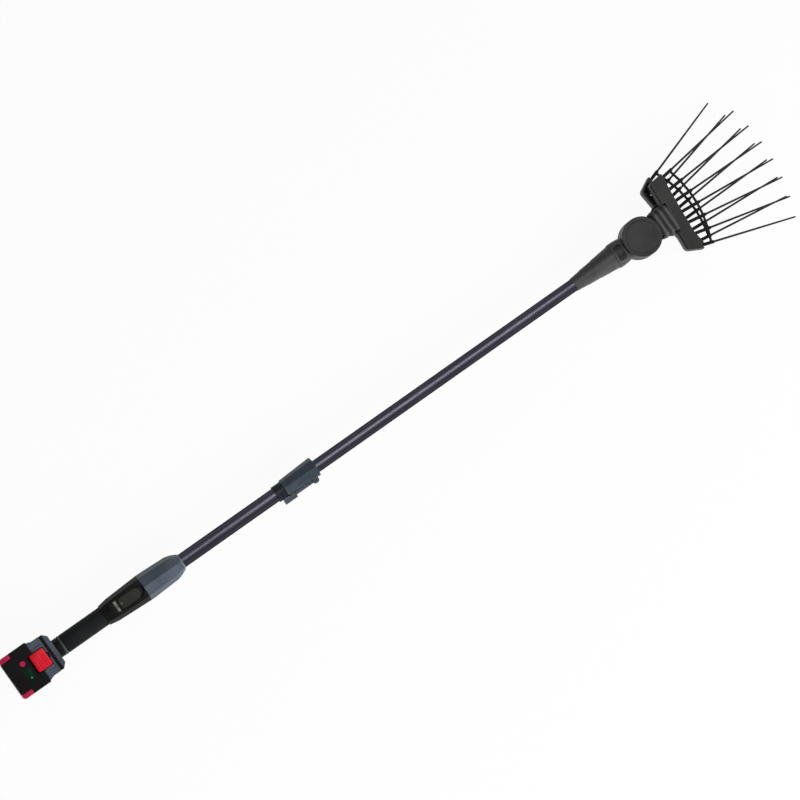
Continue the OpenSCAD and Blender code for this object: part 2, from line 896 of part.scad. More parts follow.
module motor_housing() {
    x_a = x_cone0 + cone_l * 0.25;
    x_b = x_can0 + can_step;
    x_s = x_upper1;
    can_room = motor_d / 2 + can_gap;
    r_b = max(cone_radius(x_b), can_room + cone_wall);
    color([0.24, 0.24, 0.24])
        rotate([0, 90, 0])
            rotate_extrude()
                polygon([
                    [upper_d / 2 + fit_gap, x_cone0],
                    [cone_r0, x_cone0],
                    [cone_radius(x_a), x_a],
                    [cone_radius(x_a) + cone_step, x_a],
                    [r_b, x_b],
                    [r_b + cone_step, x_b],
                    [cone_d / 2, x_cone1],
                    [barrel_in, x_cone1],
                    [can_room, x_can0 - can_gap],
                    [cone_radius(x_s) - cone_wall, x_s],
                    [upper_d / 2 + fit_gap, x_s]
                ]);
}

module plug_outline(grow) {
    translate([x_cone1 + plug_edge + plug_l / 2, 0])
        rounded(plug_l + 2 * grow, plug_w + 2 * grow, plug_r + grow);
}

function barrel_radius(x) =
    let (run = x < barrel_top ? barrel_top + barrel_l / 2 : barrel_l)
    barrel_d / 2 - barrel_swell * pow((x - barrel_top) / run, 2);

module barrel_collar() {
    color([0.24, 0.24, 0.24])
        difference() {
            rotate([0, 90, 0]) rotate_extrude() polygon(concat(
                [for (i = [0:barrel_steps])
                    let (x = barrel_span * i / barrel_steps) [barrel_radius(x), x_cone1 + x]],
                [[barrel_in, x_cone1 + barrel_span], [barrel_in, x_cone1]]
            ));
            rod_z(x_crank, 0, -far, far, 2 * (case_r + fit_gap));
            difference() {
                along_z(0, far) plug_outline(fit_gap);
                rod_x(x_cone1 - 1, x_barrel1 + case_r, barrel_d - 2 * plug_sink);
            }
        }
}

module access_plug() {
    color([0.16, 0.16, 0.16])
        intersection() {
            along_z(0, far) plug_outline(0);
            tube_x(x_cone1, x_barrel1 + case_r, barrel_d + 2 * plug_proud, barrel_d - 2 * plug_sink);
        }
}

module motor_can() {
    color([0.55, 0.55, 0.57])
        difference() {
            rod_x(x_can0, x_can1, motor_d);
            rod_x(x_can0 + can_wall, x_can1 + 1, motor_d - 2 * can_wall);
            rod_x(x_can0 - 1, x_can1, shaft_d + 2 * run_gap);
        }
}

module motor_screw_places() {
    for (s = [-1, 1])
        translate([x_can1 + 1, s * motor_screw_r, 0]) rotate([0, 90, 0]) children();
}

module motor_end_bell() {
    color([0.4, 0.4, 0.42])
        difference() {
            rod_x(x_can1, x_seat, 2 * bell_r);
            rod_x(x_can1 - 1, x_seat + 1, shaft_d + 2 * run_gap);
            motor_screw_places() cylinder(d = motor_screw_d + 2 * fit_gap, h = far);
        }
}

module motor_rotor() {
    color([0.6, 0.45, 0.3]) {
        rod_x(x_can0 + can_wall + rotor_end, x_can1 - rotor_end, 2 * rotor_r);
        rod_x(x_can0, x_crank - crown_pitch_r + gear_face, shaft_d);
    }
}

// The gap between two pinion teeth faces the crown gear at rest
module pinion() {
    step = 360 / pinion_teeth;
    color([0.7, 0.7, 0.68])
        along_x(x_crank - crown_pitch_r - gear_face / 2, gear_face)
            difference() {
                union() {
                    circle(pinion_root_r);
                    for (i = [0:pinion_teeth - 1])
                        rotate((i + 0.5) * step - 90)
                            polygon([
                                [pinion_root_r - 0.5, -pinion_base_half],
                                [pinion_tip_r, -pinion_tip_half],
                                [pinion_tip_r, pinion_tip_half],
                                [pinion_root_r - 0.5, pinion_base_half]
                            ]);
                }
                circle(d = shaft_d + 2 * eps);
            }
}

module motor_screws() {
    color([0.5, 0.5, 0.52])
        motor_screw_places() {
            cylinder(d = motor_screw_d, h = bell_t + motor_screw_grip);
            translate([0, 0, bell_t - 1 + motor_screw_grip])
                cylinder(d = 2 * motor_screw_d, h = motor_screw_d);
        }
}

module cover_screw_places() {
    for (a = [50, 130, 230, 310])
        translate([x_crank, 0, 0]) rotate(a) translate([case_r - case_wall / 2, 0, 0]) children();
}

module gear_case() {
    floor_top = case_z0 + case_wall;
    color([0.24, 0.24, 0.24])
        difference() {
            union() {
                rod_z(x_crank, 0, case_z0, case_z1, 2 * case_r);
                rod_z(x_crank, 0, floor_z, case_z0 + 1, 2 * boss_r);
                rod_x(x_seat, x_crank - case_in + 1, 2 * spigot_r);
                box(x_crank + case_r / 2, nose_x1, -nose_half, nose_half, -nose_top, nose_top);
            }
            rod_z(x_crank, 0, floor_top, far, 2 * case_in);
            rod_z(x_crank, 0, lower_bearing_z, far, bearing_d);
            box(x_crank, nose_x1 + 1, -nose_in, nose_in, -nose_top + nose_wall, nose_top - nose_wall);
            rod_x(x_seat - 1, x_crank - case_in + case_wall, pilot_d);
            rod_z(x_pivot, 0, -far, far, pivot_d + 2 * fit_gap);
            motor_screw_places() {
                cylinder(d = motor_screw_d + 2 * fit_gap, h = case_r);
                translate([0, 0, bell_t - 1 + motor_screw_grip])
                    cylinder(d = 2 * motor_screw_d + 4 * fit_gap, h = case_r / 2);
            }
            cover_screw_places()
                translate([0, 0, -far]) cylinder(d = cover_screw_d + 2 * fit_gap, h = 2 * far);
        }
}

module gear_cover() {
    color([0.25, 0.25, 0.25])
        difference() {
            rod_z(x_crank, 0, case_z1, cover_z1, 2 * case_r);
            rod_z(x_crank, 0, case_z1 - 1, upper_bearing_z + bearing_h, bearing_d);
            cover_screw_places()
                translate([0, 0, -far]) cylinder(d = cover_screw_d + 2 * fit_gap, h = far + cover_z1 - 2);
        }
}

module cover_screws() {
    color([0.5, 0.5, 0.52])
        cover_screw_places() {
            translate([0, 0, case_z0]) cylinder(d = cover_screw_d, h = cover_z1 - 3 - case_z0);
            translate([0, 0, case_z0 - cover_screw_d]) cylinder(d = 1.8 * cover_screw_d, h = cover_screw_d);
        }
}

module crown_gear() {
    r0 = crown_pitch_r - gear_face / 2 - 0.5;
    color([0.66, 0.66, 0.64])
        translate([x_crank, 0, 0])
            difference() {
                union() {
                    translate([0, 0, crown_root - crown_disc_t])
                        cylinder(r = r0 + gear_face + 1, h = crown_disc_t);
                    for (i = [0:crown_teeth - 1])
                        rotate(i * 360 / crown_teeth)
                            along_x(r0, gear_face + 1)
                                polygon([
                                    [-crown_tooth_foot, crown_root - 0.5],
                                    [crown_tooth_foot, crown_root - 0.5],
                                    [crown_tooth_tip, crown_top],
                                    [-crown_tooth_tip, crown_top]
                                ]);
                }
                translate([0, 0, -far]) cylinder(d = crank_d + 2 * eps, h = 2 * far);
            }
}

// At rest the upper eccentric stands towards +Y and the lower one towards -Y
module crank_shaft() {
    color([0.62, 0.62, 0.6]) {
        rod_z(x_crank, 0, lower_bearing_z + seat_gap, upper_bearing_z + bearing_h - seat_gap, crank_d);
        for (s = [-1, 1])
            translate([x_crank, s * ecc, s * (arm_z0 + arm_t / 2)])
                cylinder(r = ecc_r, h = arm_t, center = true);
    }
}

module shaft_bearings() {
    color([0.75, 0.75, 0.76])
        for (z = [lower_bearing_z, upper_bearing_z])
            difference() {
                rod_z(x_crank, 0, z, z + bearing_h, bearing_d - 2 * eps);
                rod_z(x_crank, 0, z - 1, z + bearing_h + 1, crank_d + 2 * run_gap);
            }
}

module eccentric_rollers() {
    color([0.7, 0.7, 0.72])
        for (s = [-1, 1])
            translate([x_crank, s * ecc, s * (arm_z0 + arm_t / 2)])
                difference() {
                    cylinder(r = roller_r, h = arm_t, center = true);
                    cylinder(r = ecc_r + run_gap, h = arm_t + 1, center = true);
                }
}

module pivot_pin() {
    color([0.7, 0.7, 0.7]) rod_z(x_pivot, 0, -nose_top, nose_top, pivot_d);
}

module pivot_spacer() {
    reach = arm_z0 - bush_flange_t - move_gap / 2;
    color([0.6, 0.6, 0.6])
        difference() {
            rod_z(x_pivot, 0, -reach, reach, 2 * bush_r);
            rod_z(x_pivot, 0, -far, far, pivot_d + 2 * fit_gap);
        }
}

module neck_boot() {
    pitch = (boot_x1 - boot_x0) / boot_ribs;
    color([0.2, 0.2, 0.2])
        difference() {
            union() {
                along_x(boot_x0, boot_x1 - boot_x0) rounded(2 * boot_half, 2 * boot_z, boot_r);
                for (i = [0:boot_ribs - 1])
                    along_x(boot_x0 + (i + 0.5) * pitch - rib_l / 2, rib_l)
                        rounded(2 * (boot_half + rib_h), 2 * (boot_z + rib_h), boot_r + rib_h);
            }
            box(boot_x0 - 1, nose_x1, -nose_half, nose_half, -nose_top, nose_top);
            box(nose_x1 - 1, boot_x1 + 1, -nose_in, nose_in, -nose_top + nose_wall, nose_top - nose_wall);
            rod_z(x_crank, 0, -far, far, 2 * (case_r + fit_gap));
        }
}

// Combs: the rear comb is the front comb turned over
module comb_place(side) {
    translate([x_pivot, 0, 0]) rotate(-side * swing) mirror([0, 0, side > 0 ? 0 : 1]) children();
}

module fork() {
    prong = slot_half + prong_t;
    color([0.55, 0.55, 0.57])
        difference() {
            along_z(arm_z0, arm_t) {
                circle(hub_arm_r);
                translate([tail_end, -prong]) square([slot_end + prong_t - tail_end, 2 * prong]);
                translate([slot_end, -arm_half]) square([cross_x1 - slot_end, 2 * arm_half]);
                translate([cross_bar_x0, -cross_half]) square([cross_x1 - cross_bar_x0, 2 * cross_half]);
                for (s = [-1, 1])
                    translate([cross_x0, s * (wing_y0 + cross_half) / 2 - (cross_half - wing_y0) / 2])
                        square([cross_x1 - cross_x0, cross_half - wing_y0]);
            }
            along_z(arm_z0 - 1, arm_t + 2)
                translate([tail_end - 1, -slot_half]) square([slot_end - tail_end + 1, 2 * slot_half]);
            rod_z(0, 0, -far, far, 2 * bush_r);
            palm_screw_places()
                translate([0, 0, -far]) cylinder(d = palm_screw_d + 2 * fit_gap, h = 2 * far);
        }
}

module bush() {
    color([0.75, 0.6, 0.35])
        difference() {
            union() {
                rod_z(0, 0, arm_z0, arm_z1, 2 * (bush_r - eps));
                for (z = [arm_z0 - bush_flange_t, arm_z1])
                    rod_z(0, 0, z, z + bush_flange_t, 2 * (bush_r + 2));
            }
            rod_z(0, 0, -far, far, pivot_d + 2 * run_gap);
        }
}

module palm_screw_places() {
    for (y = palm_screw_ys) translate([palm_screw_x, y, 0]) children();
}

function palm_front(y, inset) =
    palm_front_mid + (palm_front_end - palm_front_mid) * pow(y / palm_half, 2) - inset;

// Half width of the palm at x, for an end whose back corner stands at the given half width
function palm_slope(corner) = (palm_half - corner) / (palm_front_end - palm_tail);
function palm_end(x, wall, corner) =
    corner + (x - palm_tail) * palm_slope(corner) - wall * norm([1, palm_slope(corner)]);

// Outline of one end of the palm, from the notch round to the middle of the front
function palm_side(wall, front_wall, corner) =
    let (steps = 8)
    let (tail = palm_tail + wall)
    let (edge = palm_end(tail, wall, corner))
    let (half = palm_end(palm_front_end - front_wall, wall, corner))
    concat(
        [
            [palm_back + wall, notch_half + wall],
            [tail, notch_half + wall],
            [tail, edge - palm_round],
            [tail + palm_round / 4, edge - palm_round / 5],
            [tail + palm_round, palm_end(tail + palm_round, wall, corner)]
        ],
        [for (i = [0:steps]) let (y = half * (1 - i / steps)) [palm_front(y, front_wall), y]]
    );

// One end of the palm is squarer than the other
module palm_outline(wall, front_wall) {
    upper = palm_side(wall, front_wall, palm_square);
    slant = palm_side(wall, front_wall, palm_corner);
    lower = [for (i = [len(slant) - 2:-1:0]) [slant[i][0], -slant[i][1]]];
    polygon(concat(upper, lower));
}

module palm() {
    color([0.24, 0.24, 0.24])
        difference() {
            union() {
                difference() {
                    along_z(palm_z0, palm_h) palm_outline(0, 0);
                    along_z(palm_z0 - 1, palm_h - palm_face_t + 1) palm_outline(palm_wall, palm_front_wall);
                    box(cross_bar_x0 - 1, palm_back + palm_wall + 1, -notch_half - palm_wall - 1,
                        notch_half + palm_wall + 1, palm_z0 - 1, arm_z1);
                }
                palm_screw_places()
                    translate([0, 0, arm_z1]) cylinder(r = palm_boss_r, h = palm_z1 - arm_z1 - 1);
            }
            palm_screw_places() cylinder(d = palm_screw_d + 2 * fit_gap, h = palm_z1 - palm_face_t);
            translate([palm_tail, 0, palm_z1])
                rotate([0, 45, 0]) cube([palm_bevel * sqrt(2), 2 * far, palm_bevel * sqrt(2)], center = true);
            for (i = [-tine_pairs:tine_pairs])
                tine_place(i) {
                    rod_x(-tine_root(i) - palm_front_wall, 0, tine_d + 2 * fit_gap);
                    rod_x(-tine_root(i) - sleeve_seat, 0, sleeve_d + 2 * fit_gap);
                }
        }
}

// Place of a tine where it passes through the arc bar, with its length along X
module tine_place(i) {
    y = i * tine_pitch;
    translate([arc_x(y), y, tine_z]) rotate(i * tine_fan) children();
}

function arc_x(y) = arc_reach - arc_sag * y * y;

// Distance along a tine from the front of the palm to the arc bar
function tine_root(i) =
    let (y = i * tine_pitch)
    let (y_palm = y - (arc_x(y) - palm_front_mid) * tan(i * tine_fan))
    (arc_x(y) - palm_front(y_palm, 0)) / cos(i * tine_fan);

module tine_bar() {
    color([0.1, 0.09, 0.08])
        difference() {
            union() {
                for (i = [-tine_pairs:tine_pairs])
                    tine_place(i) rod_x(-tine_root(i) - sleeve_seat + fit_gap, sleeve_past, sleeve_d);
                for (i = [-tine_pairs:tine_pairs - 1]) arc_link(i);
            }
            for (i = [-tine_pairs:tine_pairs])
                tine_place(i) rod_x(-arc_reach, arc_reach, tine_d + 2 * fit_gap);
        }
}

// Straight bar between two neighbouring sleeves
module arc_link(i) {
    y0 = i * tine_pitch;
    y1 = y0 + tine_pitch;
    dx = arc_x(y1) - arc_x(y0);
    translate([arc_x(y0), y0, tine_z])
        rotate(atan2(tine_pitch, dx))
            rod_x(0, norm([dx, tine_pitch]), arc_bar_d);
}

module tines() {
    color([0.1, 0.09, 0.08])
        for (i = [-tine_pairs:tine_pairs])
            tine_place(i) rod_x(-tine_root(i) - sleeve_seat - tine_hold, tine_l, tine_d);
}

module palm_screws() {
    color([0.5, 0.5, 0.52])
        palm_screw_places() {
            translate([0, 0, arm_z0]) cylinder(d = palm_screw_d, h = palm_z1 - palm_face_t - arm_z0 - 1);
            translate([0, 0, arm_z0 - palm_screw_head_t])
                cylinder(d = palm_screw_head, h = palm_screw_head_t);
        }
}

module front_fork() comb_place(1) fork();
module front_bush() comb_place(1) bush();
module front_palm() comb_place(1) palm();
module front_tine_bar() comb_place(1) tine_bar();
module front_tines() comb_place(1) tines();
module front_palm_screws() comb_place(1) palm_screws();
module rear_fork() comb_place(-1) fork();
module rear_bush() comb_place(-1) bush();
module rear_palm() comb_place(-1) mirror([0, 1, 0]) palm();
module rear_tine_bar() comb_place(-1) tine_bar();
module rear_tines() comb_place(-1) tines();
module rear_palm_screws() comb_place(-1) palm_screws();

battery_case();
battery_lid();
battery_bumper();
battery_cells();
battery_board();
battery_contacts();
gauge_window();
gauge_button();
battery_latch();
battery_shoe();
shoe_terminals();
handle_half_left();
handle_half_right();
grip_sleeve();
control_panel();
indicator_bar();
power_slide();
switch_body();
control_board();
nose_shell();
handle_screws();
lower_tube();
clamp_ring();
clamp_collar();
clamp_bush();
clamp_lever();
lever_pin();
upper_tube();
tube_guide();
motor_housing();
barrel_collar();
access_plug();
motor_can();
motor_end_bell();
motor_rotor();
pinion();
motor_screws();
gear_case();
gear_cover();
cover_screws();
crown_gear();
crank_shaft();
shaft_bearings();
eccentric_rollers();
pivot_pin();
pivot_spacer();
neck_boot();
front_fork();
front_bush();
front_palm();
front_tine_bar();
front_tines();
front_palm_screws();
rear_fork();
rear_bush();
rear_palm();
rear_tine_bar();
rear_tines();
rear_palm_screws();
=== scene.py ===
import math
import bpy
import numpy as np
from mathutils import Matrix, Vector


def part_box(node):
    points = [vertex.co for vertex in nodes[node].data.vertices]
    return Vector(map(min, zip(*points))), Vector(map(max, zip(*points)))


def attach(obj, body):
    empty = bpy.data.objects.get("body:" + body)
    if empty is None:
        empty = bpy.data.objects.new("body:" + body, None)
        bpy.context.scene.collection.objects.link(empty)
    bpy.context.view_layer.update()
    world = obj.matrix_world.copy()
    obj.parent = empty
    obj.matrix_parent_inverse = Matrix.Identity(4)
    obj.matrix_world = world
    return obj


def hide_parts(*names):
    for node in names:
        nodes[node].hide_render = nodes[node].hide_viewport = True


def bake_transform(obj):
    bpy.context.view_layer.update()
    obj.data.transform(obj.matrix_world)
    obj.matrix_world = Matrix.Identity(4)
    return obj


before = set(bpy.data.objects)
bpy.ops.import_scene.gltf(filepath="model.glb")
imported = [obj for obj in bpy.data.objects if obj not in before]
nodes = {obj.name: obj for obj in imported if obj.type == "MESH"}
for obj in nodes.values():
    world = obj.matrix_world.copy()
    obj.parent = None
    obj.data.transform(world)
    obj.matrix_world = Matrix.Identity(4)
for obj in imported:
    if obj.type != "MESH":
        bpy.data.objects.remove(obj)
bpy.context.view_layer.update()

scene = bpy.context.scene
scene.view_settings.view_transform = "Standard"


def tone(r, g, b):  # an 8-bit screen colour as the linear value that a shader wants
    c = np.array([r, g, b]) / 255.0
    lin = np.where(c <= 0.04045, c / 12.92, ((c + 0.055) / 1.055) ** 2.4)
    return (float(lin[0]), float(lin[1]), float(lin[2]), 1.0)


# camera: high above a place a little behind the battery, aimed at the middle of the pole and rolled
# so that the pole climbs to the right
lens = {"place": (-0.586, -0.0556, 7.623), "aim": (0.3719, 0.0103, 0.0), "roll": -35.21,
        "millimetres": 199.7, "sensor": 36, "farthest": 50}


def placeCamera(view):
    eye = Vector(view["place"])
    ahead = (Vector(view["aim"]) - eye).normalized()
    right = ahead.cross(Vector((0, 1, 0))).normalized()
    up = right.cross(ahead)
    roll = math.radians(view["roll"])
    side = math.cos(roll) * right + math.sin(roll) * up
    top = math.cos(roll) * up - math.sin(roll) * right
    data = bpy.data.cameras.new("lens")
    data.lens = view["millimetres"]
    data.sensor_width = view["sensor"]
    data.clip_end = view["farthest"]
    camera = bpy.data.objects.new("lens", data)
    turn = Matrix((side, top, -ahead)).transposed().to_4x4()
    camera.matrix_world = Matrix.Translation(eye) @ turn
    scene.collection.objects.link(camera)
    scene.camera = camera


placeCamera(lens)
print("camera placed")


# node helpers: a new node with its sockets set, and a link
def put(tree, kind, values=None, **settings):
    node = tree.nodes.new(kind)
    for key, value in settings.items():
        setattr(node, key, value)
    for key, value in (values or {}).items():
        node.inputs[key].default_value = value
    return node


def wire(tree, source, target):
    tree.links.new(source, target)


# studio: a paper floor that glows where it is seen directly, bright walls and a darker ceiling
studio = {"floor": -0.0366, "reach": 40.0, "paper": 0.9, "glow": 0.94, "wall": 0.75,
          "ceiling": 0.24, "turn": 0.75}


def seenDirectly(tree):  # 1 for camera, glossy and transmission rays, 0 for the rest
    path = put(tree, "ShaderNodeLightPath")
    first = put(tree, "ShaderNodeMath", operation="MAXIMUM")
    second = put(tree, "ShaderNodeMath", operation="MAXIMUM")
    wire(tree, path.outputs["Is Camera Ray"], first.inputs[0])
    wire(tree, path.outputs["Is Glossy Ray"], first.inputs[1])
    wire(tree, first.outputs[0], second.inputs[0])
    wire(tree, path.outputs["Is Transmission Ray"], second.inputs[1])
    return second.outputs[0]


def layFloor(room):
    half = room["reach"]
    low = room["floor"]
    corners = [(-half, -half, low), (half, -half, low), (half, half, low), (-half, half, low)]
    mesh = bpy.data.meshes.new("floor")
    mesh.from_pydata(corners, [], [(0, 1, 2, 3)])
    floor = bpy.data.objects.new("floor", mesh)
    scene.collection.objects.link(floor)
    paper = bpy.data.materials.new("studioPaper")
    paper.use_nodes = True
    tree = paper.node_tree
    tree.nodes.clear()
    out = put(tree, "ShaderNodeOutputMaterial")
    lit = put(tree, "ShaderNodeBsdfDiffuse", {"Color": (room["paper"],) * 3 + (1,)})
    glow = put(tree, "ShaderNodeEmission", {"Color": (1, 1, 1, 1), "Strength": 1.0})
    share = put(tree, "ShaderNodeMath", {1: room["glow"]}, operation="MULTIPLY")
    mix = put(tree, "ShaderNodeMixShader")
    wire(tree, seenDirectly(tree), share.inputs[0])
    wire(tree, share.outputs[0], mix.inputs[0])
    wire(tree, lit.outputs[0], mix.inputs[1])
    wire(tree, glow.outputs[0], mix.inputs[2])
    wire(tree, mix.outputs[0], out.inputs["Surface"])
    mesh.materials.append(paper)


def lightSky(room):  # white walls at the horizon that darken evenly towards the ceiling
    world = bpy.data.worlds.new("studioSky")
    scene.world = world
    world.use_nodes = True
    tree = world.node_tree
    tree.nodes.clear()
    out = put(tree, "ShaderNodeOutputWorld")
    height = put(tree, "ShaderNodeSeparateXYZ")
    span = {"From Min": 0.0, "From Max": room["turn"], "To Min": room["wall"],
            "To Max": room["ceiling"]}
    fade = put(tree, "ShaderNodeMapRange", span, interpolation_type="SMOOTHSTEP")
    sky = put(tree, "ShaderNodeBackground", {"Color": (1, 1, 1, 1)})
    wire(tree, put(tree, "ShaderNodeTexCoord").outputs["Generated"], height.inputs[0])
    wire(tree, height.outputs["Z"], fade.inputs["Value"])
    wire(tree, fade.outputs[0], sky.inputs["Strength"])
    wire(tree, sky.outputs[0], out.inputs["Surface"])


# lamps: a mirrored one shows in glossy surfaces, a spread one lights matt surfaces
lamps = {
    "overhead": {"place": (0.55, 0.14, 1.3), "aim": (0.55, 0.0, 0.0), "size": (1.15, 0.26),
                 "watts": 15, "mirrored": True, "spread": False},
    "fill": {"place": (0.1, -2.3, 1.5), "aim": (0.1, 0.0, 0.0), "size": (3.2, 1.8),
             "watts": 66, "mirrored": False, "spread": True},
    "far": {"place": (2.3, -1.0, 0.9), "aim": (0.2, 0.0, 0.0), "size": (0.8, 0.8),
            "watts": 16, "mirrored": True, "spread": True},
}


def hangLamp(name, lamp):
    data = bpy.data.lights.new(name, "AREA")
    data.shape = "RECTANGLE"
    data.size, data.size_y = lamp["size"]
    data.energy = lamp["watts"]
    light = bpy.data.objects.new(name, data)
    eye = Vector(lamp["place"])
    turn = (Vector(lamp["aim"]) - eye).to_track_quat("-Z", "Y")
    light.matrix_world = Matrix.Translation(eye) @ turn.to_matrix().to_4x4()
    light.visible_camera = False
    light.visible_glossy = lamp["mirrored"]
    light.visible_diffuse = lamp["spread"]
    scene.collection.objects.link(light)


layFloor(studio)
lightSky(studio)
for lampName, lamp in lamps.items():
    hangLamp(lampName, lamp)
print("floor, sky and lamps set")


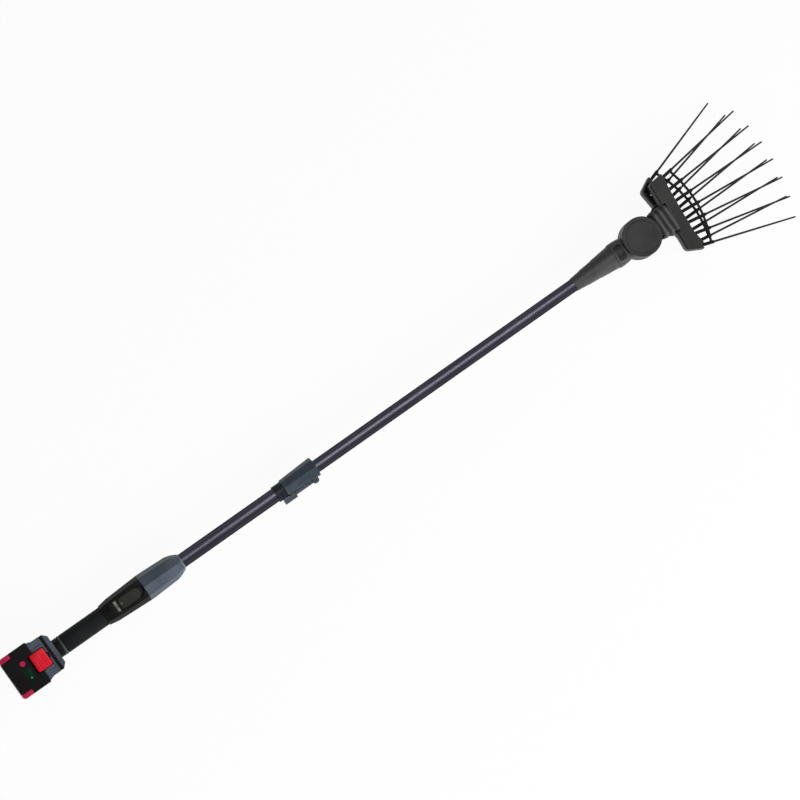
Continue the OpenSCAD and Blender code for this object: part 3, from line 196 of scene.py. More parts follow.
# finishes: deep and pale are the two ends of the colour drift, worn is what shows on rubbed edges,
# and in bootRubber it is also a painted highlight on the rib tops. blotch, grain and pit are counts
# per metre, dent is the strength of the bump, and edge is the softened corner in metres. metal,
# rim, streak and the rib-top strength are in the finishes that have them.
finishes = {
    "packShell": {
        "deep": tone(9, 9, 10), "pale": tone(17, 17, 18), "wornAndSheen": tone(52, 52, 54),
        "blotch": 30, "grain": 1400, "pit": 2300, "dent": 0.16,
        "rough": 0.5, "shine": 0.12, "edge": 0.0012},
    "packBumper": {
        "deep": tone(182, 22, 66), "pale": tone(204, 34, 82), "wornAndSheen": tone(224, 84, 124),
        "blotch": 40, "grain": 1500, "pit": 2600, "dent": 0.10,
        "rough": 0.45, "shine": 0.15, "edge": 0.0010},
    "latchGloss": {
        "deep": tone(224, 10, 36), "pale": tone(242, 20, 50), "wornAndSheen": tone(248, 84, 106),
        "blotch": 60, "grain": 1500, "pit": 3000, "dent": 0.06,
        "rough": 0.36, "shine": 0.18, "edge": 0.0010},
    "ledWindow": {
        "deep": tone(3, 34, 20), "pale": tone(8, 54, 33), "wornAndSheen": tone(30, 84, 60),
        "blotch": 120, "grain": 900, "pit": 2000, "dent": 0.02,
        "rough": 0.34, "shine": 0.08, "edge": 0.0004},
    # painted glow: a pale green for the lit lens, with no emission
    "ledLit": {
        "deep": tone(96, 190, 150), "pale": tone(140, 224, 190), "wornAndSheen": tone(190, 240, 220),
        "blotch": 300, "grain": 900, "pit": 2000, "dent": 0.02,
        "rough": 0.3, "shine": 0.2, "edge": 0.0003},
    "slateShell": {
        "deep": tone(65, 74, 84), "pale": tone(85, 95, 107), "wornAndSheen": tone(130, 143, 152),
        "blotch": 22, "grain": 1300, "pit": 2200, "dent": 0.14,
        "rough": 0.46, "shine": 0.2, "edge": 0.0013},
    "slateClamp": {
        "deep": tone(50, 59, 69), "pale": tone(70, 80, 91), "wornAndSheen": tone(122, 134, 142),
        "blotch": 30, "grain": 1300, "pit": 2200, "dent": 0.14,
        "rough": 0.44, "shine": 0.2, "edge": 0.0011},
    "ringDark": {
        "deep": tone(25, 27, 35), "pale": tone(37, 40, 49), "wornAndSheen": tone(84, 90, 98),
        "blotch": 40, "grain": 1300, "pit": 2200, "dent": 0.12,
        "rough": 0.48, "shine": 0.15, "edge": 0.0008},
    "handleBlack": {
        "deep": tone(10, 10, 9), "pale": tone(19, 19, 17), "wornAndSheen": tone(58, 58, 54),
        "blotch": 26, "grain": 1400, "pit": 2300, "dent": 0.2,
        "rough": 0.54, "shine": 0.12, "edge": 0.0010},
    # painted highlight: the pale ring at the nose's end
    "sealPale": {
        "deep": tone(112, 119, 126), "pale": tone(132, 140, 147), "wornAndSheen": tone(176, 182, 188),
        "blotch": 60, "grain": 1200, "pit": 1800, "dent": 0.1,
        "rough": 0.5, "shine": 0.2, "edge": 0.0004},
    "lipRubber": {
        "deep": tone(66, 71, 71), "pale": tone(80, 86, 86), "wornAndSheen": tone(104, 110, 110),
        "blotch": 40, "grain": 1100, "pit": 1500, "dent": 0.24,
        "rough": 0.6, "shine": 0.12, "edge": 0.0006},
    "gripRubber": {
        "deep": tone(22, 24, 25), "pale": tone(34, 36, 37), "wornAndSheen": tone(62, 64, 64),
        "blotch": 24, "grain": 1100, "pit": 1500, "dent": 0.32,
        "rough": 0.66, "shine": 0.1, "edge": 0.0010},
    "padSatin": {
        "deep": tone(36, 36, 31), "pale": tone(48, 48, 42), "wornAndSheen": tone(84, 84, 76),
        "blotch": 50, "grain": 1300, "pit": 2100, "dent": 0.12,
        "rough": 0.5, "shine": 0.14, "edge": 0.0014},
    "barSilver": {
        "deep": tone(84, 84, 78), "pale": tone(108, 108, 100), "wornAndSheen": tone(150, 150, 144),
        "blotch": 60, "grain": 2400, "pit": 3000, "dent": 0.05,
        "rough": 0.5, "shine": 0.2, "edge": 0.0005},
    "barLens": {
        "deep": tone(128, 128, 120), "pale": tone(154, 154, 146), "wornAndSheen": tone(186, 186, 180),
        "blotch": 90, "grain": 2000, "pit": 2600, "dent": 0.04,
        "rough": 0.36, "shine": 0.3, "edge": 0.0004},
    "tubeCoat": {
        "deep": tone(70, 69, 79), "pale": tone(77, 76, 86), "wornAndSheen": tone(110, 108, 120),
        "blotch": 14, "grain": 1700, "pit": 2600, "dent": 0.05,
        "rough": 0.42, "shine": 0.5, "edge": 0.0004, "streak": 0.03, "metal": 1.0, "rim": 0.02},
    "headGrey": {
        "deep": tone(36, 36, 36), "pale": tone(52, 52, 52), "wornAndSheen": tone(104, 104, 104),
        "blotch": 26, "grain": 1300, "pit": 2100, "dent": 0.18,
        "rough": 0.5, "shine": 0.18, "edge": 0.0012},
    "coneGrey": {
        "deep": tone(61, 61, 61), "pale": tone(81, 81, 81), "wornAndSheen": tone(122, 122, 122),
        "blotch": 26, "grain": 1300, "pit": 2100, "dent": 0.18,
        "rough": 0.5, "shine": 0.18, "edge": 0.0012},
    "frameGrey": {
        "deep": tone(90, 90, 90), "pale": tone(108, 108, 108), "wornAndSheen": tone(140, 140, 140),
        "blotch": 60, "grain": 1300, "pit": 2100, "dent": 0.1,
        "rough": 0.5, "shine": 0.18, "edge": 0.0004},
    "plugDark": {
        "deep": tone(34, 34, 34), "pale": tone(50, 50, 50), "wornAndSheen": tone(104, 104, 104),
        "blotch": 40, "grain": 1300, "pit": 2100, "dent": 0.16,
        "rough": 0.5, "shine": 0.18, "edge": 0.0010},
    # its worn colour also paints a highlight on the bellows' rib tops
    "bootRubber": {
        "deep": tone(42, 42, 42), "pale": tone(57, 57, 57), "wornAndSheen": tone(112, 112, 112),
        "blotch": 40, "grain": 1000, "pit": 1500, "dent": 0.28,
        "rough": 0.66, "shine": 0.12, "edge": 0.0010, "crestSheen": 0.6},
    "palmGrey": {
        "deep": tone(31, 31, 30), "pale": tone(47, 47, 46), "wornAndSheen": tone(158, 158, 154),
        "blotch": 22, "grain": 1300, "pit": 2100, "dent": 0.16,
        "rough": 0.48, "shine": 0.18, "edge": 0.0015},
    # painted shade: near-black for the tray liners in the palms; the forks wear it too
    "trayBlack": {
        "deep": tone(5, 5, 5), "pale": tone(12, 12, 11), "wornAndSheen": tone(40, 40, 38),
        "blotch": 60, "grain": 1300, "pit": 2100, "dent": 0.16,
        "rough": 0.6, "shine": 0.08, "edge": 0.0005},
    "tineRod": {
        "deep": tone(25, 23, 21), "pale": tone(41, 38, 35), "wornAndSheen": tone(68, 64, 60),
        "blotch": 60, "grain": 1800, "pit": 2600, "dent": 0.1,
        "rough": 0.42, "shine": 0.2, "edge": 0.0005},
    "sleeveBlack": {
        "deep": tone(8, 7, 6), "pale": tone(17, 16, 14), "wornAndSheen": tone(48, 46, 43),
        "blotch": 60, "grain": 1400, "pit": 2200, "dent": 0.16,
        "rough": 0.5, "shine": 0.15, "edge": 0.0006},
    "steelTurned": {
        "deep": tone(150, 150, 152), "pale": tone(188, 188, 190), "wornAndSheen": tone(224, 224, 226),
        "blotch": 90, "grain": 2600, "pit": 3200, "dent": 0.05,
        "rough": 0.3, "shine": 0.5, "edge": 0.0005, "metal": 1.0},
    "bronzeSintered": {
        "deep": tone(150, 112, 62), "pale": tone(182, 138, 80), "wornAndSheen": tone(214, 176, 118),
        "blotch": 120, "grain": 2600, "pit": 3600, "dent": 0.12,
        "rough": 0.42, "shine": 0.5, "edge": 0.0004, "metal": 1.0},
    "brassStamped": {
        "deep": tone(176, 140, 74), "pale": tone(208, 170, 96), "wornAndSheen": tone(232, 204, 140),
        "blotch": 120, "grain": 2400, "pit": 3200, "dent": 0.05,
        "rough": 0.32, "shine": 0.5, "edge": 0.0003, "metal": 1.0},
    "boardGreen": {
        "deep": tone(18, 76, 48), "pale": tone(30, 100, 64), "wornAndSheen": tone(90, 140, 110),
        "blotch": 160, "grain": 1800, "pit": 2600, "dent": 0.1,
        "rough": 0.4, "shine": 0.4, "edge": 0.0003},
    "cellWrap": {
        "deep": tone(40, 104, 132), "pale": tone(58, 128, 158), "wornAndSheen": tone(120, 170, 190),
        "blotch": 70, "grain": 1200, "pit": 2000, "dent": 0.05,
        "rough": 0.34, "shine": 0.45, "edge": 0.0006},
    "switchBlack": {
        "deep": tone(26, 26, 28), "pale": tone(38, 38, 40), "wornAndSheen": tone(80, 80, 84),
        "blotch": 70, "grain": 1400, "pit": 2200, "dent": 0.12,
        "rough": 0.48, "shine": 0.35, "edge": 0.0005},
    "canSteel": {
        "deep": tone(120, 122, 124), "pale": tone(150, 152, 154), "wornAndSheen": tone(196, 198, 200),
        "blotch": 50, "grain": 2200, "pit": 3000, "dent": 0.06,
        "rough": 0.34, "shine": 0.5, "edge": 0.0006, "metal": 1.0},
}

# shared by every finish: the range of a noise that counts, how close the softened normal is to the
# true one on a whole edge and on a rubbed one, the most wear that shows there, how far the grain
# moves the roughness, the depth of grain and pits in metres, and the pits' share of the dent
texture = {"noise": (0.3, 0.7), "bend": (0.995, 0.86), "rub": 0.75, "rough": (-0.06, 0.08),
           "grain": 0.0003, "pit": 0.0002, "pitShare": 0.7, "samples": 6}


def mixFinish(name, look):
    # colour drifts with a slow noise and pales on rubbed edges, where the softened normal leaves
    # the true one; roughness follows the grain, and the bump adds fine pits to the grain
    low, high = texture["noise"]
    whole, rubbed = texture["bend"]
    smoother, rougher = (look["rough"] + step for step in texture["rough"])
    made = bpy.data.materials.new(name)
    made.use_nodes = True
    tree = made.node_tree
    shader = tree.nodes["Principled BSDF"]
    shader.inputs["Metallic"].default_value = look.get("metal", 0.0)
    shader.inputs["Specular IOR Level"].default_value = look["shine"]
    rim = look.get("rim", 1.0)  # a satin metal's edge stays dark
    shader.inputs["Specular Tint"].default_value = (rim, rim, rim, 1.0)
    coords = put(tree, "ShaderNodeTexCoord").outputs["Object"]
    blotch = put(tree, "ShaderNodeTexNoise", {"Scale": look["blotch"], "Detail": 4.0,
                                              "Roughness": 0.55})
    grain = put(tree, "ShaderNodeTexNoise", {"Scale": look["grain"], "Detail": 3.0,
                                             "Roughness": 0.6})
    pit = put(tree, "ShaderNodeTexVoronoi", {"Scale": look["pit"]})
    wire(tree, coords, blotch.inputs["Vector"])
    streak = look.get("streak", 1.0)  # below 1 the grain is drawn out along the pole
    drawn = put(tree, "ShaderNodeMapping", {"Scale": (streak, 1, 1)})
    wire(tree, coords, drawn.inputs["Vector"])
    wire(tree, drawn.outputs[0], grain.inputs["Vector"])
    wire(tree, drawn.outputs[0], pit.inputs["Vector"])
    drift = put(tree, "ShaderNodeMapRange", {"From Min": low, "From Max": high})
    wire(tree, blotch.outputs["Fac"], drift.inputs["Value"])
    body = put(tree, "ShaderNodeMix", data_type="RGBA")
    body.inputs["A"].default_value = look["deep"]
    body.inputs["B"].default_value = look["pale"]
    wire(tree, drift.outputs[0], body.inputs["Factor"])
    soft = put(tree, "ShaderNodeBevel", {"Radius": look["edge"]}, samples=texture["samples"])
    true = put(tree, "ShaderNodeNewGeometry")
    bend = put(tree, "ShaderNodeVectorMath", operation="DOT_PRODUCT")
    wire(tree, soft.outputs[0], bend.inputs[0])
    wire(tree, true.outputs["Normal"], bend.inputs[1])
    rub = put(tree, "ShaderNodeMapRange", {"From Min": whole, "From Max": rubbed,
                                           "To Max": texture["rub"]})
    wire(tree, bend.outputs["Value"], rub.inputs["Value"])
    patchy = put(tree, "ShaderNodeMath", operation="MULTIPLY")
    wire(tree, rub.outputs[0], patchy.inputs[0])
    wire(tree, grain.outputs["Fac"], patchy.inputs[1])
    colour = put(tree, "ShaderNodeMix", data_type="RGBA")
    colour.inputs["B"].default_value = look["wornAndSheen"]
    wire(tree, body.outputs["Result"], colour.inputs["A"])
    wire(tree, patchy.outputs[0], colour.inputs["Factor"])
    if "crestSheen" in look:  # painted highlight: the piece's own rib-top attribute pales the tops of the ribs towards the worn colour
        crestSheen = put(tree, "ShaderNodeAttribute", attribute_name="crestSheen")
        share = put(tree, "ShaderNodeMath", {1: look["crestSheen"]}, operation="MULTIPLY")
        pale = put(tree, "ShaderNodeMix", data_type="RGBA")
        pale.inputs["B"].default_value = look["wornAndSheen"]
        wire(tree, crestSheen.outputs["Fac"], share.inputs[0])
        wire(tree, share.outputs[0], pale.inputs["Factor"])
        wire(tree, colour.outputs["Result"], pale.inputs["A"])
        colour = pale
    wire(tree, colour.outputs["Result"], shader.inputs["Base Color"])
    rough = put(tree, "ShaderNodeMapRange", {"From Min": low, "From Max": high, "To Min": smoother,
                                             "To Max": rougher})
    wire(tree, grain.outputs["Fac"], rough.inputs["Value"])
    wire(tree, rough.outputs[0], shader.inputs["Roughness"])
    coarse = put(tree, "ShaderNodeBump", {"Strength": look["dent"], "Distance": texture["grain"]})
    fine = put(tree, "ShaderNodeBump", {"Strength": look["dent"] * texture["pitShare"],
                                        "Distance": texture["pit"]})
    wire(tree, soft.outputs[0], coarse.inputs["Normal"])
    wire(tree, grain.outputs["Fac"], coarse.inputs["Height"])
    wire(tree, coarse.outputs[0], fine.inputs["Normal"])
    wire(tree, pit.outputs["Distance"], fine.inputs["Height"])
    wire(tree, fine.outputs[0], shader.inputs["Normal"])
    return made


finish = {name: mixFinish(name, look) for name, look in finishes.items()}
print("finishes mixed:", len(finish))

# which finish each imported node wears
wearing = {
    "packShell": ["battery_case", "battery_lid"],
    "packBumper": ["battery_bumper", "gauge_button"],
    "latchGloss": ["battery_latch"],
    "ledWindow": ["gauge_window"],
    "cellWrap": ["battery_cells"],
    "boardGreen": ["battery_board", "control_board"],
    "brassStamped": ["battery_contacts", "shoe_terminals"],
    "slateShell": ["battery_shoe", "nose_shell"],
    "handleBlack": ["handle_half_left", "handle_half_right", "control_panel"],
    "gripRubber": ["grip_sleeve"],
    "padSatin": ["power_slide"],
    "barSilver": ["indicator_bar"],
    "switchBlack": ["switch_body", "tube_guide"],
    "tubeCoat": ["lower_tube", "upper_tube"],
    "slateClamp": ["clamp_collar", "clamp_lever"],
    "sleeveBlack": ["clamp_bush", "front_tine_bar", "rear_tine_bar"],
    "ringDark": ["clamp_ring", "lever_pin"],
    "steelTurned": ["handle_screws", "motor_screws", "cover_screws", "pivot_pin", "crank_shaft",
                    "pinion", "crown_gear", "front_palm_screws", "rear_palm_screws",
                    "pivot_spacer"],
    "bronzeSintered": ["motor_rotor", "shaft_bearings", "eccentric_rollers", "front_bush",
                       "rear_bush"],
    "coneGrey": ["motor_housing", "barrel_collar"],
    "headGrey": ["gear_case", "gear_cover"],
    "trayBlack": ["front_fork", "rear_fork"],
    "plugDark": ["access_plug"],
    "canSteel": ["motor_can", "motor_end_bell"],
    "bootRubber": ["neck_boot"],
    "palmGrey": ["front_palm", "rear_palm"],
    "tineRod": ["front_tines", "rear_tines"],
}
for name, wearers in wearing.items():
    for node in wearers:
        skins = nodes[node].data.materials
        skins.clear()
        skins.append(finish[name])
missing = set(nodes) - {node for wearers in wearing.values() for node in wearers}
print("nodes dressed, left over:", sorted(missing))


# shapes: quads between the rows of a grid of points, joined round where the columns close
def gridFaces(rows, cols, closed, loop=False):
    i = np.arange(rows if loop else rows - 1)[:, None]
    j = np.arange(cols if closed else cols - 1)[None, :]
    here, below, right = i * cols, (i + 1) % rows * cols, (j + 1) % cols
    quads = np.broadcast_arrays(here + j, here + right, below + right, below + j)
    return np.stack(quads, -1).reshape(-1, 4)


def turnedOut(points, faces):  # flips a closed shape whose signed volume is negative
    p = points[faces]
    a, b, c, d = p[:, 0], p[:, 1], p[:, 2], p[:, 3]
    volume = (np.cross(a, b) * c).sum() + (np.cross(a, c) * d).sum()
    return faces if volume > 0 else faces[:, ::-1]


def makePiece(name, points, faces, skin, body, standsFor=(), slot=None, sharp=38):
    mesh = bpy.data.meshes.new(name)
    mesh.from_pydata(np.asarray(points, float).tolist(), [], faces)
    mesh.polygons.foreach_set("use_smooth", np.ones(len(mesh.polygons), bool))
    mesh.set_sharp_from_angle(angle=math.radians(sharp))
    mesh.materials.append(finish[skin])
    piece = bpy.data.objects.new(name, mesh)
    scene.collection.objects.link(piece)
    if body:
        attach(piece, body)
    if standsFor:
        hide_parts(*standsFor)
    return piece


def loftFaces(rings, base):  # side quads of closed rings and two flat caps, counted from base
    rows, cols, _ = rings.shape
    side = gridFaces(rows, cols, True)
    turned = turnedOut(rings.reshape(-1, 3), side)
    first, last = np.arange(cols)[::-1], np.arange(cols) + (rows - 1) * cols
    caps = [first, last] if turned is side else [first[::-1], last[::-1]]
    return (turned + base).tolist() + [(cap + base).tolist() for cap in caps]


def makeLofts(name, lofts, *wear, **more):  # one or several lofts as one piece
    sizes = [rings.shape[0] * rings.shape[1] for rings in lofts]
    bases = np.cumsum([0] + sizes[:-1]).tolist()
    points = np.concatenate([rings.reshape(-1, 3) for rings in lofts])
    faces = [face for rings, base in zip(lofts, bases) for face in loftFaces(rings, base)]
    makePiece(name, points, faces, *wear, **more)


def makeHoop(name, rings, *wear, **more):
    # a small loop carried round a closed path, so both directions close
    rows, cols, _ = rings.shape
    points = rings.reshape(-1, 3)
    faces = turnedOut(points, gridFaces(rows, cols, True, True)).tolist()
    makePiece(name, points, faces, *wear, **more)


def circle(sides):  # the unit circle as a closed ring of points
    t = np.linspace(0, 2 * np.pi, sides, endpoint=False)
    return np.stack([np.cos(t), np.sin(t)], -1)


def quarter(steps):  # cosines and sines along a quarter circle
    t = np.linspace(0, np.pi / 2, steps)
    return np.cos(t), np.sin(t)


def lifted(flat, level):  # a grid of flat points with its height as the third measure
    return np.concatenate([flat, np.broadcast_to(level, flat.shape[:2] + (1,))], -1)


def spin(profile, sides=96):
    # a profile of (x, radius) turned about the pole's axis
    x, r = np.asarray(profile, float).T
    around = r[:, None, None] * circle(sides)
    return np.concatenate([np.broadcast_to(x[:, None, None], around.shape[:2] + (1,)), around], -1)


def revolve(profile, centre, sides):
    # a profile of (radius, height) turned about an upright axis
    r, z = np.asarray(profile, float).T
    return lifted(np.asarray(centre) + r[:, None, None] * circle(sides), z[:, None, None])


def roundedOutline(corners, radius, steps=7):
    # each corner of a polygon becomes an arc that touches both of its sides
    p = np.asarray(corners, float)
    r = np.broadcast_to(np.asarray(radius, float), (len(p),))[:, None]
    a = np.roll(p, 1, 0) - p
    b = np.roll(p, -1, 0) - p
    a /= np.linalg.norm(a, axis=1, keepdims=True)
    b /= np.linalg.norm(b, axis=1, keepdims=True)
    half = np.arccos(np.clip((a * b).sum(1, keepdims=True), -1, 1)) / 2
    mid = (a + b) / np.linalg.norm(a + b, axis=1, keepdims=True)
    centre = p + mid * r / np.sin(half)
    start = p + a * r / np.tan(half) - centre
    end = p + b * r / np.tan(half) - centre
    angle = np.arctan2(start[:, 1], start[:, 0])
    sweep = np.arctan2(end[:, 1], end[:, 0]) - angle
    sweep = (sweep + np.pi) % (2 * np.pi) - np.pi
    t = angle[:, None] + sweep[:, None] * np.linspace(0, 1, steps)
    arcs = centre[:, None, :] + r[:, :, None] * np.stack([np.cos(t), np.sin(t)], -1)
    return arcs.reshape(-1, 2)


def roundedBox(x0, x1, y0, y1, radius, steps=7):
    return roundedOutline([(x0, y0), (x1, y0), (x1, y1), (x0, y1)], radius, steps)


def outward(outline):  # the unit normal at each point of an outline
    along = np.roll(outline, -1, 0) - np.roll(outline, 1, 0)
    along /= np.linalg.norm(along, axis=1, keepdims=True)
    return np.stack([along[:, 1], -along[:, 0]], -1)


def slabRings(outline, low, high, edge, steps=5):
    # an outline carried upwards: it swells through a quarter circle, runs straight and draws in
    cosine, sine = quarter(steps)
    inset = edge * (1 - sine)
    rise = edge * (1 - cosine)
    inset = np.concatenate([inset, inset[::-1]])
    level = np.concatenate([low + rise, high - rise[::-1]])
    flat = outline[None] - outward(outline)[None] * inset[:, None, None]
    return lifted(flat, level[:, None, None])


# the hinge of both combs: its place along the pole, and how far each comb leans at rest, in degrees
hinge = {"x": 0.9164, "lean": 5.0}


def leant(flat, side):  # a comb's flat points turned about the hinge, to where the comb leans
    a = math.radians(-side * hinge["lean"])
    turn = np.array([[math.cos(a), math.sin(a)], [-math.sin(a), math.cos(a)]])
    return flat @ turn + [hinge["x"], 0]


# tray liners: painted shade, a thin dark slab on the floor of each palm, at both of its ends, that
# blackens the tray's shaded inside
tray = {"x": (0.0234, 0.0412), "y": (0.0340, 0.0608, 0.0684), "floor": 0.0300, "thick": 0.0006,
        "corner": 0.0015, "edge": 0.0002}


def makeShadeLiners(name, comb, side, form):
    x0, x1 = form["x"]
    inner, back, front = form["y"]
    z0, z1 = sorted((side * form["floor"], side * (form["floor"] - form["thick"])))
    lofts = []
    for end in (-1, 1):
        corners = [(x0, end * inner), (x1, end * inner), (x1, end * front), (x0, end * back)][::end]
        outline = leant(roundedOutline(corners, form["corner"], steps=5), side)
        lofts.append(slabRings(outline, z0, z1, form["edge"], steps=3))
    makeLofts(name, lofts, "trayBlack", comb, slot="tine_black")


makeShadeLiners("frontShadeLiners", "front_comb", 1, tray)
makeShadeLiners("rearShadeLiners", "rear_comb", -1, tray)

# neck bellows: half a rounded box along the pole, whose size swells in three ribs, one half for
# each comb. At rest its far end leans with its comb.
neck = {"start": 0.9150, "end": 0.9472, "half": 0.0222, "flare": 0.0050, "high": 0.0250,
        "lift": 0.0046, "corner": 0.0085, "rib": 0.0030, "ribs": 3, "plump": 0.8, "crestSheen": 6,
        "part": 0.0005, "wall": 0.0012, "rows": 61}


def makeBellows(name, side, form):
    s = np.linspace(0, 1, form["rows"])
    x = form["start"] + (form["end"] - form["start"]) * s
    swell = form["rib"] * np.abs(np.sin(np.pi * form["ribs"] * s)) ** form["plump"]
    half, high = form["half"], form["high"]
    box = roundedBox(-half, half, -high, high, form["corner"], steps=9)
    upper = box[box[:, 1] > 0]
    upper = upper[np.argsort(-np.arctan2(upper[:, 1], upper[:, 0]))][::-1]
    foot = np.array([[half, form["part"]]])
    arch = np.concatenate([foot, upper, foot * [[-1, 1]]])
    away = arch / np.linalg.norm(arch, axis=1, keepdims=True)
    away[0], away[-1] = (1, 0), (-1, 0)
    ease = s * s * (3 - 2 * s)
    widen = np.stack([1 + form["flare"] / half * ease, 1 + form["lift"] / high * ease], -1)
    shape = arch[None] * widen[:, None, :] + away[None] * swell[:, None, None]
    lean = -side * math.tan(math.radians(hinge["lean"])) * (form["end"] - hinge["x"]) * ease
    y = shape[..., 0] + lean[:, None]
    z = side * shape[..., 1]
    points = np.stack([np.broadcast_to(x[:, None], y.shape), y, z], -1).reshape(-1, 3)
    faces = gridFaces(*y.shape, False)
    faces = (faces[:, ::-1] if side > 0 else faces).tolist()
    piece = makePiece(name, points, faces, "bootRubber", None, slot="boot_rubber", sharp=70)
    # painted highlight: 1 on top of a rib and 0 between the ribs, how far the rib tops are paled
    crestSheen = np.clip(swell / form["rib"], 0, 1)[:, None] ** form["crestSheen"]
    crestSheen = np.ascontiguousarray(np.broadcast_to(crestSheen, y.shape)).ravel()
    piece.data.attributes.new("crestSheen", "FLOAT", "POINT").data.foreach_set("value", crestSheen)
    thick = piece.modifiers.new("wall", "SOLIDIFY")
    thick.thickness = form["wall"]
    thick.offset = -1
    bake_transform(piece)
    return piece


frontBellows = makeBellows("frontBellows", 1, neck)
makeBellows("rearBellows", -1, neck)
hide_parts("neck_boot")
print("liners and bellows made")

# gear cover: a turned lid with a rounded rim, a shallow ring groove and a slightly crowned middle
lid = {"centre": (0.8804, 0.0), "low": 0.0225, "high": 0.0315, "radius": 0.0354, "rim": 0.0022,
       "foot": 0.0006, "inside": 0.6, "ring": 0.0285, "groove": 0.0007, "width": 0.0006,
       "crown": 0.0006, "hub": 0.0004, "rows": 60}


def makeCover(form):
    cosine, sine = quarter(steps=8)
    r, foot = form["radius"], form["foot"]
    skirt = [(r * form["inside"], form["low"]), (r - foot, form["low"]), (r, form["low"] + foot)]
    rim = np.stack([r - form["rim"] * (1 - cosine), form["high"] - form["rim"] * (1 - sine)], -1)
    inner = np.linspace(r - form["rim"] - form["hub"], form["hub"], form["rows"])
    dip = form["groove"] * np.exp(-((inner - form["ring"]) / form["width"]) ** 4)
    dome = np.where(inner < form["ring"], form["crown"] * (1 - (inner / form["ring"]) ** 2), 0.0)
    top = np.stack([inner, form["high"] + dome - form["crown"] - dip], -1)
    rings = revolve(np.concatenate([skirt, rim, top]), form["centre"], sides=128)
    makeLofts("gearCover", [rings], "headGrey", "upper", ["gear_cover"], "head_grey", sharp=50)


makeCover(lid)

# release latch: a slab with soft edges and three raised ribs for the finger across its face
button = {"x": (-0.4080, -0.3802), "half": 0.0165, "low": 0.0679, "high": 0.0783, "corner": 0.0030,
          "edge": 0.0016, "ribs": 3, "ribStart": 0.0052, "ribPitch": 0.0040, "ribHalf": 0.0011,
          "ribReach": 0.72, "ribCorner": 0.00105, "ribSink": 0.0004, "ribProud": 0.0006,
          "ribEdge": 0.0005}


def makeLatch(form):
    x0, x1 = form["x"]
    outline = roundedBox(x0, x1, -form["half"], form["half"], form["corner"])
    lofts = [slabRings(outline, form["low"], form["high"], form["edge"])]
    reach, half = form["half"] * form["ribReach"], form["ribHalf"]
    z0, z1 = form["high"] - form["ribSink"], form["high"] + form["ribProud"]
    for k in range(form["ribs"]):
        mid = x0 + form["ribStart"] + form["ribPitch"] * k
        rib = roundedBox(mid - half, mid + half, -reach, reach, form["ribCorner"])
        lofts.append(slabRings(rib, z0, z1, form["ribEdge"], steps=4))
    makeLofts("releaseLatch", lofts, "latchGloss", "latch", ["battery_latch"], "latch_red",
              sharp=45)


makeLatch(button)

# latch tongue: a small dark slab that stands out low down on the latch's front end
tongue = {"back": 0.001, "ahead": 0.0026, "half": 0.0045, "corner": 0.0004,
          "rise": (0.0001, 0.0042), "edge": 0.0003}


def makeTongue(form, latch):
    front = latch["x"][1]
    x0, x1, half = front - form["back"], front + form["ahead"], form["half"]
    outline = roundedBox(x0, x1, -half, half, form["corner"], steps=3)
    low, high = (latch["low"] + rise for rise in form["rise"])
    slab = slabRings(outline, low, high, form["edge"], steps=3)
    makeLofts("latchTongue", [slab], "ringDark", "latch", slot="handle_black")


makeTongue(tongue, button)

# rail caps: a thin slate slab on each of the two rail ends beside the latch
railCaps = {"x": (-0.3985, -0.3795), "y": (0.0172, 0.0228), "low": 0.0747, "high": 0.0757,
            "corner": 0.0008, "edge": 0.0003}


def makeRailCaps(form):
    inner, outer = form["y"]
    ends = ((-outer, -inner), (inner, outer))
    outlines = [roundedBox(*form["x"], *end, form["corner"], steps=4) for end in ends]
    lofts = [slabRings(outline, form["low"], form["high"], form["edge"], steps=3)
             for outline in outlines]
    makeLofts("railCaps", lofts, "slateShell", "battery", slot="shell_slate")


makeRailCaps(railCaps)

# painted shade: a dark flat strip in the groove round the shoe, carried over the top and down both
# sides, that darkens the groove as shade would
grooveShade = {"x": (-0.3757, -0.3703), "half": 0.0342, "low": -0.0350, "high": 0.0748, "corner": 0.0030,
        "thick": 0.0009}


def makeGrooveShade(form):
    half, low, high = form["half"], form["low"], form["high"]
    corners = [(half, low), (half, high), (-half, high), (-half, low)]
    steps = 8
    over = roundedOutline(corners, form["corner"], steps)[steps:-steps]  # the two arcs at the top
    path = np.concatenate([corners[:1], over, corners[-1:]])
    along = np.gradient(path, axis=0)
    along /= np.linalg.norm(along, axis=1, keepdims=True)
    inner = path + np.stack([-along[:, 1], along[:, 0]], -1) * form["thick"]
    x0, x1 = form["x"]
    edges = [(x0, path), (x1, path), (x1, inner), (x0, inner)]
    lines = [np.concatenate([np.full((len(line), 1), x), line], 1) for x, line in edges]
    rings = np.stack(lines, 1)
    makeLofts("shoeGrooveShadeStrip", [rings], "handleBlack", "root", slot="handle_black", sharp=30)


makeGrooveShade(grooveShade)

# corner guards: a bar with a rounded outer corner down each edge of the battery's far end
guard = {"depth": 0.0200, "wrap": 0.0090, "corner": 0.0060, "inner": 0.0015, "edge": 0.0012}


def makeGuards(form):
    low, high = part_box("battery_bumper")
    x0, x1 = low[0], low[0] + form["depth"]
    lofts = []
    for side in (-1, 1):
        outer, inner = side * high[1], side * (high[1] - form["wrap"])
        corners = [(x0, outer), (x0, inner), (x1, inner), (x1, outer)][::side]
        radii = [form["corner"], form["inner"], form["inner"], form["inner"]][::side]
        lofts.append(slabRings(roundedOutline(corners, radii), low[2], high[2], form["edge"]))
    makeLofts("cornerGuards", lofts, "packBumper", "battery", ["battery_bumper"], "pack_red")


makeGuards(guard)

# end belt: nine dark ribs, one above the other, between the two guards
belt = {"thick": 0.0020, "dip": 0.0100, "ribs": 9, "corner": 0.0008, "gap": 0.0006, "edge": 0.0006}


